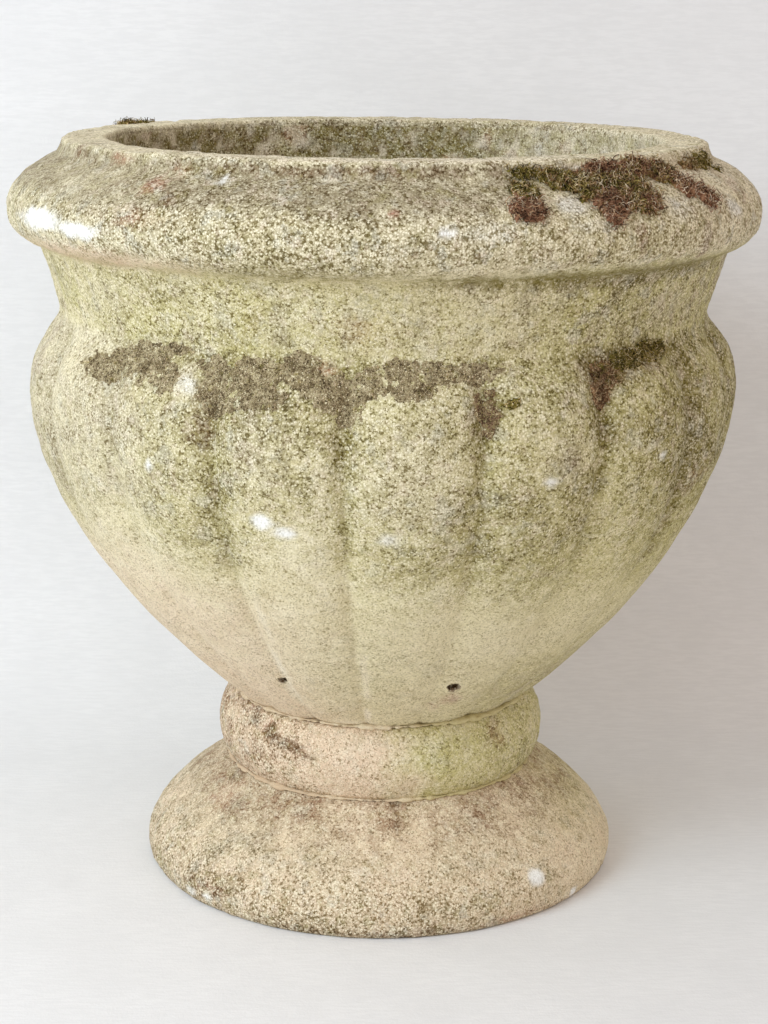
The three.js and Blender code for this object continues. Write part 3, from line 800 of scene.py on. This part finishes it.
footSpots = {
    "bleach": [(40.4, 27, 8, 5), (-44, 9, 6, 3, 0.8), (-50, 8, 8, 3, 0.7), (53.5, 5, 6, 3)],
    # the low spots at height 4 darken the foot's bottom edge: partly soil, partly painted shade under the
    # edge
    "soilAndShade": [(5.6, 75, 9, 3, 1.0), (5.6, 68, 5, 7, 0.5), (-61, 74, 12, 6, 0.7), (-46, 14, 26, 7, 0.45),
             (8, 4, 60, 4, 0.6), (-20, 4, 60, 3, 0.5)],
    "red": [(-44, 15, 26, 6, 0.5), (33, 4, 40, 3, 0.5), (-58, 64, 36, 12, 0.4), (5.6, 73, 16, 4, 0.5)],
    "pale": [(0, 30, 200, 12, 0.1)],
}


def swept(outline, s):
    # the outline's grid, its points and their radius, azimuth, height and noises
    grid = ringPoints(outline[:, 0][:, None], columnsOf(s["columns"]), outline[:, 1][:, None])
    flat = grid.reshape(-1, 3)
    return grid, flat, aroundAxis(flat), fieldNoises(flat, s["lumps"], s["seed"])


def roughened(name, grid, side, values, fields, s, ring=False):
    # the side is pushed in and out by lumps and pits, and less at its bottom and top
    flat = grid.reshape(-1, 3)
    height = flat[:, 2]
    push = sum(share * field for share, field in zip(s["lumpHeights"], fields))
    allowed = np.where(side, values["erosion"].clip(0.05, 1), 0)
    push -= pits(flat, s["pits"], pitRadii, s["pitDepths"], allowed, s["seed"] + 4)
    fade = ramp(height, s["bottom"], s["bottom"] + s["edge"])
    fade *= ramp(-height, -s["top"], s["edge"] - s["top"])
    push = np.where(side, np.minimum(push, s["proudest"]) * fade, 0)
    return gridMesh(name, pushed(grid, push), values, ring)


def addCollar(c):
    handle = (8 * c["middleRadius"] - c["bottomRadius"] - c["topRadius"]) / 6
    side = bezier([
        (c["bottomRadius"], c["bottom"]), (handle, c["bottom"] + c["bulgeStart"]),
        (handle, c["bottom"] + c["bulgeEnd"]), (c["topRadius"], c["top"]),
    ])
    outline = joined(
        np.array([(c["bore"], c["bottom"]), (c["insideRing"], c["bottom"])]),
        evenly(side, c["spacing"]),
        np.array([(c["insideRing"], c["top"]), (c["bore"], c["top"])]),
    )
    grid, flat, (radius, azimuth, height), fields = swept(outline, c)
    broad, middling, small, fine = fields
    values = stoneValues(len(flat))
    green = ramp(azimuth + 8 * middling, -4, 22) * (1 - ramp(azimuth, 130, 175))
    values["erosion"] = (
        0.3 + 0.2 * middling + 0.3 * sideRamp(-azimuth, 10, 40) + 0.15 * sideRamp(azimuth, 30, 70)
    )
    values["warm"] = 0.95 - 0.85 * green + 0.12 * broad
    values["algae"] = 0.75 * green + 0.2 * middling
    values["deepAlgaeAndShade"] = 0.1 * green * ramp(azimuth, 5, 50) + 0.15 * middling * green
    values["lichen"] = 0.3 * sideRamp(-azimuth, 20, 50) + 0.2 * middling
    values["red"] = 0.3 * sideRamp(-azimuth, 15, 50) * (1 + middling)
    addSpots(values, collarSpots, azimuth, height, 0.3 * middling + 0.35 * small + 0.25 * fine)
    return roughened("collarStone", grid, radius > c["topRadius"] - 2, values, fields, c, True)


def addFoot(f):
    toe = bezier([(f["baseRadius"], 0), (f["toeRadius"], 0), (f["toeRadius"], f["toeHeight"])])
    flare = bezier([
        (f["toeRadius"], f["toeHeight"]), (f["toeRadius"], f["toeHeight"] + f["toeRise"]),
        (f["topRadius"] + f["slopeRun"], f["top"] - f["slopeRise"]), (f["topRadius"], f["top"]),
    ])
    pocket = [(f["pocketRadius"], f["top"]), (f["pocketRadius"], f["top"] - f["pocketDepth"])]
    outline = joined(
        np.array([(radius, f["bottom"]) for radius in f["undersideRings"]]),
        evenly(joined(toe, flare), f["spacing"]),
        np.array([(f["topRing"], f["top"]), *pocket]),
    )
    grid, flat, (radius, azimuth, height), fields = swept(outline, f)
    broad, middling, small, fine = fields
    values = stoneValues(len(flat))
    low = 1 - ramp(height, 22, 52)
    values["erosion"] = 0.25 + 0.6 * low * sideRamp(-azimuth, -60, -10) + 0.2 * middling
    values["warm"] = 0.68 - 0.25 * sideRamp(azimuth, 30, 75) + 0.15 * broad
    values["algae"] = 0.08 + 0.45 * sideRamp(azimuth, 40, 85) * ramp(height, 25, 55) + 0.15 * middling
    values["deepAlgaeAndShade"] = 0.22 * sideRamp(azimuth, 45, 90) * ramp(height, 30, 60)
    # darker towards the bottom 14 mm, the foot's rounded underside edge: partly soil, partly painted shade
    values["soilAndShade"] = 0.2 * (1 - ramp(height, 2, 14)) + 0.12 * middling
    values["lichen"] = (
        0.08 + 0.25 * middling + 0.25 * sideRamp(-azimuth, -10, 50) + 0.25 * ramp(height, 35, 62)
    )
    values["red"] = 0.25 * ramp(height, 40, 66) * (1 + middling)
    addSpots(values, footSpots, azimuth, height, 0.3 * middling + 0.35 * small + 0.25 * fine)
    side = (radius > f["topRadius"] - 1) & (height > 0.5)
    return roughened("footStone", grid, side, values, fields, f)


# mortar

mortarBeds = {
    # smear is where the bed swells most: azimuth, how far out, and how wide in degrees
    "bowlBed": {"node": "bowl_bed_mortar", "radius": 109, "middle": 129.5, "halfHeight": 1.2,
                "smear": (42, 2.6, 18), "ragged": 2.2, "dirt": 0.25, "seed": 51},
    "collarBed": {"node": "collar_bed_mortar", "radius": 113, "middle": 77, "halfHeight": 1.1,
                  "smear": (-42, 1.6, 26), "ragged": 2.0, "dirt": 0.55, "seed": 61},
}
mortarShape = {
    "columns": 480, "steps": 13, "bore": 13.5, "boreHalfHeight": 0.9, "tuckedIn": 3, "roundness": 0.7,
    "pits": 160, "pitRadii": (1.2, 2.6), "pitDepths": (0.5, 1.4),
}


def addMortar(name, m, s):
    azimuths = columnsOf(s["columns"])
    middle = ringPoints(m["radius"], azimuths, m["middle"])
    wave = 0.6 * fieldNoise(middle, 26, m["seed"]) + 0.7 * fieldNoise(middle, 9, m["seed"] + 1)
    wave += 0.6 * fieldNoise(middle, 4, m["seed"] + 7)
    place, reach, width = m["smear"]
    smear = reach * np.exp(-(turnFrom(azimuths, place) / width) ** 2)
    out = s["tuckedIn"] + np.clip(smear + m["ragged"] * wave, -1.0, 5)
    half = m["halfHeight"] + np.clip(0.45 * smear + 0.8 * m["ragged"] * wave, -0.9, 2.2)
    lean = 0.8 * fieldNoise(middle, 18, m["seed"] + 2)
    inner = m["radius"] - s["tuckedIn"]
    rings = []
    for angle in np.linspace(-math.pi / 2, math.pi / 2, s["steps"]):
        bulge = max(math.cos(angle), 0)
        level = m["middle"] + half * math.sin(angle) + lean * bulge
        rings.append(ringPoints(inner + out * bulge ** s["roundness"], azimuths, level))
    for rise in (s["boreHalfHeight"], -s["boreHalfHeight"]):
        rings.append(ringPoints(s["bore"], azimuths, m["middle"] + rise))
    grid = np.array(rings)
    flat = grid.reshape(-1, 3)
    radius, azimuth, _ = aroundAxis(flat)
    outer = radius > inner
    push = 0.45 * fieldNoise(flat, 5, m["seed"] + 3) + 0.3 * fieldNoise(flat, 2.5, m["seed"] + 4)
    push -= pits(flat, s["pits"], s["pitRadii"], s["pitDepths"], outer.astype(float), m["seed"] + 5)
    values = {
        "dirt": m["dirt"] + 0.4 * sideRamp(-azimuth, 10, 40) + 0.4 * fieldNoise(flat, 8, m["seed"] + 6),
        "algae": band(azimuth, 2, 26, 120, 170),
    }
    return gridMesh(name, pushed(grid, np.where(outer, push, 0)), values, True)


def mortarMaterial():
    material, g, place, shader = newMaterial("limeMortar")
    blotch = g.noise(place, 150.0, 4.0, 0.6)
    sand = g.noise(place, 1500.0, 2.0, 0.7)
    colour = g.mix(g.mapRange(blotch, 0.35, 0.7), linear(238, 226, 196), linear(214, 196, 160))
    colour = g.mix(g.attribute("dirt"), colour, linear(204, 180, 148))
    colour = g.mix(g.math("MULTIPLY", g.attribute("algae"), 0.75), colour, linear(196, 186, 130))
    colour = g.mix(g.mapRange(sand, 0.6, 0.74), colour, linear(140, 116, 84))
    dress(g, shader, colour, (sand, 0.6, 0.0006), 0.95)
    return material


def ironMaterial():
    material, g, place, shader = newMaterial("rustedIron")
    scale = g.noise(place, 350.0, 4.0, 0.65)
    colour = g.mix(g.mapRange(scale, 0.4, 0.65), linear(92, 58, 40), linear(150, 88, 48))
    dress(g, shader, colour, (scale, 0.5, 0.0005), 0.85)
    shader.inputs["Metallic"].default_value = 0.35
    return material


# moss

# thickness in millimetres; stems and crumbs are counts per square centimetre where the moss is thickest;
# reach is how far each lump spreads, and holes how much of it is gone
mossKinds = {
    "crust": {"thickness": 0.7, "stems": 14, "stemSize": 0.5, "crumbs": 70, "holes": 0.35, "reach": 1.25},
    "matted": {"thickness": 1.4, "stems": 50, "stemSize": 0.6, "crumbs": 70, "holes": 0.5, "reach": 1.15},
    "brown": {"thickness": 2.6, "stems": 75, "stemSize": 1.0, "crumbs": 40, "holes": 0.35, "reach": 1.25},
    "dark": {"thickness": 2.0, "stems": 120, "stemSize": 0.7, "crumbs": 60, "holes": 0.7, "reach": 1.2},
}
# where each mat lies, as lumps that run together: azimuth, height, half width, half height, and how green
# from 0 to 1 where it isn't as the kind usually is
mossMats = {
    "shoulder_moss_left": {"kind": "crust", "seed": 1, "lumps": [
        (-49, 391, 18, 8), (-44, 399, 20, 6), (-39, 405, 18, 5), (-35, 406, 16, 4), (-38, 395, 20, 9),
        (-34, 390, 8, 9)]},
    "shoulder_moss_centre": {"kind": "crust", "seed": 2, "lumps": [
        (-26, 398, 12, 8), (-26, 388, 12, 9), (-24, 380, 12, 5), (-20, 397, 21, 9), (-18, 387, 17, 8),
        (-20, 381, 9, 4), (-13, 400, 19, 10), (-11, 393, 14, 7), (-9, 387, 10, 6), (-7, 393, 10, 9),
        (-5, 386, 10, 10), (-2, 395, 12, 8), (3, 401, 17, 7), (4, 391, 12, 6), (8, 401, 17, 6),
        (14, 401, 14, 5)]},
    "shoulder_moss_right": {"kind": "dark", "seed": 3, "lumps": [
        (34.5, 387, 6, 10, 0.1), (36, 395, 9, 7, 0.4), (41, 399, 14, 5, 1), (46, 402, 12, 5, 1),
        (50, 403, 7, 4, 1)]},
    "groove_moss": {"kind": "matted", "seed": 4, "lumps": [
        (14.9, 386, 7, 7), (15.7, 378, 6, 7), (15.4, 370, 4, 5), (19, 383, 7, 3, 0.9)]},
    "rim_moss_mat": {"kind": "brown", "seed": 5, "lumps": [
        (21.5, 518, 9, 3, 1), (26, 516, 12, 4, 0.7), (28.5, 512, 13, 5, 0.7), (32, 509, 14, 7, 0.65),
        (33, 502, 11, 8, 0.2), (32.6, 494, 6, 6, 0), (38, 506, 17, 9, 0.6), (39.6, 500, 9, 6, 0.4),
        (36, 519, 16, 4, 0.1), (43.5, 517, 19, 5, 0.4), (49, 513, 14, 6, 0.5), (51, 506, 10, 6, 0.1),
        (53.5, 500, 8, 6, 0)]},
    "rim_moss_patch": {"kind": "brown", "seed": 6, "lumps": [(20.5, 508, 7, 4, 0.8), (19.8, 500, 9, 7, 0)]},
    "rim_moss_tuft_right": {"kind": "dark", "seed": 7, "lumps": [
        (60, 517, 12, 4, 0.5), (65, 517, 12, 5, 1), (69, 516, 9, 5, 1)]},
    "rim_moss_tuft_back": {"kind": "dark", "seed": 8, "lumps": [
        (-123, 518, 12, 5, 0.8), (-117, 517, 12, 4, 0.5), (-124, 523, 12, 3.5, 0.8),
        (-119, 524, 12, 3, 0.6)]},
}
mossColours = {
    # from the darkest tone to the palest
    "crust": [(0.0, (82, 68, 46)), (0.25, (126, 110, 80)), (0.5, (164, 150, 116)), (0.7, (198, 186, 150)),
              (0.85, (166, 142, 116)), (1.0, (226, 216, 182))],
    "matted": [(0.0, (80, 58, 42)), (0.3, (128, 102, 76)), (0.55, (162, 142, 106)), (0.75, (138, 128, 74)),
               (1.0, (206, 188, 152))],
    "brown": [(0.0, (50, 34, 20)), (0.2, (98, 68, 48)), (0.42, (150, 106, 80)), (0.62, (168, 128, 98)),
              (0.8, (196, 164, 122)), (1.0, (240, 224, 198))],
    "dark": [(0.0, (66, 46, 30)), (0.3, (112, 84, 58)), (0.55, (144, 112, 80)), (0.75, (170, 130, 96)),
             (1.0, (214, 192, 150))],
    "green": [(0.0, (42, 36, 12)), (0.25, (86, 77, 30)), (0.5, (128, 116, 54)), (0.7, (160, 142, 76)),
              (0.85, (188, 158, 104)), (1.0, (238, 224, 184))],
}


def mossMaterial(name, tones, greens):
    material, g, place, shader = newMaterial(name)
    speckle = g.noise(place, 900.0, 3.0, 0.7)
    blotch = g.noise(place, 160.0, 3.0, 0.6, 4.0)
    tone = g.swing(blotch, 1.2, g.swing(speckle, 1.2, g.attribute("tone")))

    def tinted(stops):
        scale = g.tree.nodes.new("ShaderNodeValToRGB")
        g.put(scale.inputs["Fac"], tone)
        steps = scale.color_ramp.elements
        for k, (at, colour) in enumerate(stops):
            step = steps[k] if k < 1 else (steps[-1] if at == 1.0 else steps.new(at))
            step.position = at
            step.color = linear(*colour)
        return scale.outputs["Color"]

    tuft = g.noise(place, 230.0, 3.0, 0.6, 7.0)
    green = g.mapRange(g.math("MULTIPLY_ADD", tuft, 2.2, g.attribute("green")), 1.35, 1.9)
    dress(g, shader, g.mix(green, tinted(tones), tinted(greens)), (speckle, 0.5, 0.0006), 0.95)
    return material


mossMesh = {"step": 1.1, "margin": 6, "sunk": 1.8, "usualGreen": 0.15}


def mossBase(name, mat, skin, s):
    # a thin ragged crust that follows the stone and dips into it at its edge
    kind = mossKinds[mat["kind"]]
    places = np.array([(*lump, s["usualGreen"])[:5] for lump in mat["lumps"]], float)
    wide, tall = np.degrees((places[:, 2] + s["margin"]) / spotRadius), places[:, 3] + s["margin"]
    ends = (places[:, 0] - wide).min(), (places[:, 0] + wide).max()
    levels = (places[:, 1] - tall).min(), (places[:, 1] + tall).max()
    azimuth, height = np.meshgrid(
        np.linspace(*ends, int(np.radians(ends[1] - ends[0]) * spotRadius / s["step"])),
        np.linspace(*levels, int((levels[1] - levels[0]) / s["step"])),
        indexing="ij",
    )
    points, normals = skin.at(azimuth, height)
    flat = points.reshape(-1, 3)
    seed = 70 + 9 * mat["seed"]

    def field(size, k):
        return fieldNoise(flat, size, seed + k).reshape(azimuth.shape)

    reach = np.full(azimuth.shape, -9.0)
    green = np.zeros(azimuth.shape)
    for centre, level, halfWidth, halfHeight, tint in places:
        across = np.radians(azimuth - centre) * spotRadius / halfWidth
        near = kind["reach"] - np.hypot(across, (height - level) / halfHeight)
        green = np.where(near > reach, tint, green)
        reach = np.maximum(reach, near)
    cover = reach + 0.35 * field(10, 0) + 0.4 * field(4.5, 1) + 0.35 * field(2.4, 2)
    cover -= kind["holes"] * ramp(field(6, 3), 0.15, 0.5)
    lumps = 0.7 + 0.5 * field(7, 4) + 0.5 * field(2.6, 5)
    lift = -0.9 + ramp(cover, 0, 0.3) * (0.9 + kind["thickness"] * lumps.clip(0.15, 1.6))
    shown = cover > -0.02
    kept = shown[:-1, :-1] & shown[1:, 1:] & shown[1:, :-1] & shown[:-1, 1:]
    # quads that touch only at a corner would share an upright edge, so one more is kept between them
    for _ in range(4):
        kept[1:, :-1] |= kept[:-1, :-1] & kept[1:, 1:] & ~kept[:-1, 1:]
        kept[:-1, :-1] |= kept[1:, :-1] & kept[:-1, 1:] & ~kept[1:, 1:]
    count = azimuth.size
    index = np.arange(count).reshape(azimuth.shape)
    faces, openEdges = [], {}
    for i, j in zip(*np.nonzero(kept)):
        quad = [int(index[i, j]), int(index[i + 1, j]), int(index[i + 1, j + 1]), int(index[i, j + 1])]
        faces.append(quad)
        faces.append([k + count for k in reversed(quad)])
        for a, b in zip(quad, quad[1:] + quad[:1]):
            if openEdges.pop((b, a), None) is None:
                openEdges[(a, b)] = True
    faces += [[b, a, a + count, b + count] for a, b in openEdges]
    outer, sunk = points + normals * lift[..., None], points - normals * s["sunk"]
    allPoints = np.concatenate([outer.reshape(-1, 3), sunk.reshape(-1, 3)])
    used = np.unique(np.array(faces))
    renumber = np.full(len(allPoints), -1)
    renumber[used] = np.arange(len(used))
    grows = np.concatenate([ramp(cover, 0.0, 0.5).ravel(), np.zeros(count)])
    tone = np.concatenate([0.2 + 0.3 * lumps.ravel(), np.full(count, 0.3)])
    values = {"cover": grows[used], "tone": tone[used], "green": np.tile(green.ravel(), 2)[used]}
    return meshObject(name, allPoints[used], renumber[np.array(faces)].tolist(), values)


class Flow(Graph):
    # the same short way for a Geometry Nodes tree with named inputs
    def __init__(self, name, inputs):
        super().__init__(bpy.data.node_groups.new(name, "GeometryNodeTree"))
        face = self.tree.interface
        face.new_socket("Geometry", in_out="INPUT", socket_type="NodeSocketGeometry")
        face.new_socket("Geometry", in_out="OUTPUT", socket_type="NodeSocketGeometry")
        self.sockets = {}
        for label, kind in inputs.items():
            self.sockets[label] = face.new_socket(label, in_out="INPUT", socket_type=kind).identifier
        self.start = self.tree.nodes.new("NodeGroupInput").outputs
        self.end = self.tree.nodes.new("NodeGroupOutput").inputs

    def random(self, low, high, seed, kind="FLOAT"):
        made = self.tree.nodes.new("FunctionNodeRandomValue")
        made.data_type = kind
        # sockets come in pairs by type: vectors first, then floats, then whole numbers
        first = {"FLOAT_VECTOR": 0, "FLOAT": 2, "INT": 4}[kind]
        made.inputs[first].default_value = low
        made.inputs[first + 1].default_value = high
        self.put(made.inputs["Seed"], seed)
        return made.outputs[first // 2]


mossShapes = {
    # turns, reach, rise and thickness of each curled stem, and how each crumb is stretched
    "stems": [(0.55, 4.0, 3.0, 0.22), (0.7, 2.6, 4.0, 0.2), (0.42, 5.4, 2.0, 0.22), (0.9, 3.0, 2.0, 0.2),
              (0.5, 1.6, 4.5, 0.32)],
    "crumbs": [(1, 1, 1), (1.3, 0.9, 0.7), (0.6, 0.6, 1.6), (1.2, 1.4, 0.8), (0.8, 0.9, 1.1)],
    "crumbRadius": 0.55,
}


def mossTree():
    g = Flow("mossGrowth", {
        "Stems per square metre": "NodeSocketFloat", "Crumbs per square metre": "NodeSocketFloat",
        "Stem size": "NodeSocketFloat", "Seed": "NodeSocketInt", "Material": "NodeSocketMaterial",
    })
    start = g.start
    cover = g.add("GeometryNodeInputNamedAttribute", {"Name": "cover"}, data_type="FLOAT")

    def scattered(density, seed):
        made = g.tree.nodes.new("GeometryNodeDistributePointsOnFaces")
        g.put(made.inputs["Mesh"], start["Geometry"])
        g.put(made.inputs["Density"], g.math("MULTIPLY", density, cover))
        g.put(made.inputs["Seed"], g.math("ADD", start["Seed"], seed))
        return made.outputs["Points"], made.outputs["Rotation"]

    def grown(points, rotation, shapes, scaleLow, scaleHigh, tilt, seed):
        lean = g.random((-tilt, -tilt, -math.pi), (tilt, tilt, math.pi), seed, "FLOAT_VECTOR")
        turned = g.add("FunctionNodeRotateRotation", {"Rotation": rotation, "Rotate By": lean},
                       rotation_space="LOCAL")
        made = g.add("GeometryNodeInstanceOnPoints", {
            "Points": points, "Instance": shapes, "Pick Instance": True, "Rotation": turned,
            "Instance Index": g.random(0, 4, seed + 1, "INT"),
            "Scale": g.random(scaleLow, scaleHigh, seed + 2, "FLOAT_VECTOR"),
        })
        return g.add("GeometryNodeStoreNamedAttribute", {
            "Geometry": made, "Name": "tone", "Value": g.random(0.0, 1.0, seed + 3),
        }, data_type="FLOAT", domain="INSTANCE")

    def stemShape(turns, reach, rise, thick):
        curl = g.add("GeometryNodeCurveSpiral", {
            "Resolution": 9, "Rotations": turns, "Height": rise * mm,
            "Start Radius": reach * 0.25 * mm, "End Radius": reach * mm,
        })
        ring = g.add("GeometryNodeCurvePrimitiveCircle", {"Resolution": 3, "Radius": thick * mm})
        return g.add("GeometryNodeCurveToMesh", {"Curve": curl, "Profile Curve": ring, "Fill Caps": True})

    def choice(shapes):
        together = g.tree.nodes.new("GeometryNodeGeometryToInstance")
        for shape in shapes:
            g.tree.links.new(shape, together.inputs[0])
        return together.outputs[0]

    stems = choice([stemShape(*sizes) for sizes in mossShapes["stems"]])
    crumb = g.add("GeometryNodeMeshIcoSphere", {"Radius": mossShapes["crumbRadius"] * mm, "Subdivisions": 1})
    crumbs = choice([
        g.add("GeometryNodeTransform", {"Geometry": crumb, "Scale": scale}) for scale in mossShapes["crumbs"]
    ])
    stemPoints, stemTurn = scattered(start["Stems per square metre"], 1)
    crumbPoints, crumbTurn = scattered(start["Crumbs per square metre"], 5)
    stemGrowth = g.add("GeometryNodeScaleInstances", {
        "Instances": grown(stemPoints, stemTurn, stems, (0.6, 0.6, 0.5), (1.2, 1.2, 1.3), 1.2, 11),
        "Scale": g.add("ShaderNodeCombineXYZ", {k: start["Stem size"] for k in range(3)}),
    })
    crumbGrowth = grown(crumbPoints, crumbTurn, crumbs, (0.5, 0.5, 0.5), (1.7, 1.7, 1.4), 0.8, 21)
    join = g.tree.nodes.new("GeometryNodeJoinGeometry")
    for shape in (crumbGrowth, stemGrowth, start["Geometry"]):
        g.tree.links.new(shape, join.inputs[0])
    real = g.add("GeometryNodeRealizeInstances", {"Geometry": join.outputs[0]})
    coloured = g.add("GeometryNodeSetMaterial", {"Geometry": real, "Material": start["Material"]})
    g.put(g.end["Geometry"], coloured)
    return g


def growMoss(obj, flow, mat, material):
    modifier = obj.modifiers.new("growth", "NODES")
    modifier.node_group = flow.tree
    kind = mossKinds[mat["kind"]]
    settings = {
        "Stems per square metre": kind["stems"] * 1e4, "Crumbs per square metre": kind["crumbs"] * 1e4,
        "Stem size": kind["stemSize"], "Seed": mat["seed"] * 31, "Material": material,
    }
    for label, value in settings.items():
        modifier[flow.sockets[label]] = value
    evaluated = obj.evaluated_get(bpy.context.evaluated_depsgraph_get())
    mesh = bpy.data.meshes.new_from_object(evaluated)
    obj.modifiers.remove(modifier)
    old = obj.data
    obj.data = mesh
    bpy.data.meshes.remove(old)
    mesh.polygons.foreach_set("use_smooth", [True] * len(mesh.polygons))


# floor

# in metres; the floor runs on behind the wall
floorSizes = {
    "halfWidth": 2.2, "front": -2.6, "back": 2.6, "wall": 0.38, "bend": 0.2, "bendSteps": 24, "height": 2.4,
}


def addFloor(s):
    bendStart = s["wall"] - s["bend"]
    line = [(s["front"], 0), (bendStart, 0), (s["back"], 0), (bendStart, 0)]
    for k in range(1, s["bendSteps"] + 1):
        turn = math.pi / 2 * k / s["bendSteps"]
        line.append((bendStart + s["bend"] * math.sin(turn), s["bend"] * (1 - math.cos(turn))))
    line.append((s["wall"], s["height"]))
    points = np.array([(x, y, z) for y, z in line for x in (-s["halfWidth"], s["halfWidth"])]) / mm
    wayBack = 2  # the stretch of the line that only returns to the bend has no face
    faces = [(2 * k, 2 * k + 1, 2 * k + 3, 2 * k + 2) for k in range(len(line) - 1) if k != wayBack]
    obj = meshObject("backdrop", points, faces, {})
    material, g, place, shader = newMaterial("paleCanvas")
    weave = g.noise(place, 420.0, 2.0, 0.6)
    cloud = g.noise(place, 14.0, 5.0, 0.6)
    threads = g.noise(g.add("ShaderNodeMapping", {"Vector": place, "Scale": (60, 380, 380)}), 1.0, 2.0, 0.6)
    colour = g.mix(g.mapRange(cloud, 0.3, 0.7), linear(236, 236, 235), linear(231, 231, 230))
    colour = g.mix(g.mapRange(threads, 0.35, 0.65, 0.0, 0.5), colour, linear(226, 226, 225))
    dress(g, shader, colour, (weave, 0.25, 0.0008), 0.95)
    # the wall can be seen through from behind, so that it hides nothing in views from the back
    behind = g.add("ShaderNodeNewGeometry", output="Backfacing")
    clear = g.add("ShaderNodeBsdfTransparent")
    oneSided = g.add("ShaderNodeMixShader", {0: behind, 1: shader.outputs[0], 2: clear})
    g.put(material.node_tree.nodes["Material Output"].inputs["Surface"], oneSided)
    obj.data.materials.append(material)


# assembly


def finishPiece(obj, material, node):
    obj.data.materials.clear()
    obj.data.materials.append(material)
    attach(obj, "root")
    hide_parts(node)
    print(obj.name, "done,", sum(len(p.vertices) - 2 for p in obj.data.polygons), "triangles")


bpy.context.scene.view_settings.view_transform = "Standard"
addCamera(camera)
addLights()
addFloor(floorSizes)
print("camera, light and floor done")

stone = stoneMaterial("weatheredCastStone", stoneColours, stoneGrain)
mortar = mortarMaterial()
iron = ironMaterial()

bowlStone, bowlSkin = addBowl(bowl, lobes)
drillWeepHoles(bowlStone, weepHoles, bowl)
finishPiece(bowlStone, stone, "bowl")
finishPiece(addCollar(collar), stone, "collar")
finishPiece(addFoot(foot), stone, "foot")
for name, bed in mortarBeds.items():
    finishPiece(addMortar(name, bed, mortarShape), mortar, bed["node"])
for node, material in (("centre_dowel", iron), ("dowel_grout", mortar)):
    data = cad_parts[node].data
    data.materials.clear()
    data.materials.append(material)

growth = mossTree()
mossMaterials = {
    key: mossMaterial(key + "Moss", mossColours[key], mossColours["green"]) for key in mossKinds
}
for node, mat in mossMats.items():
    piece = mossBase(node.title().replace("_", "") + "Growth", mat, bowlSkin, mossMesh)
    growMoss(piece, growth, mat, mossMaterials[mat["kind"]])
    finishPiece(piece, mossMaterials[mat["kind"]], node)
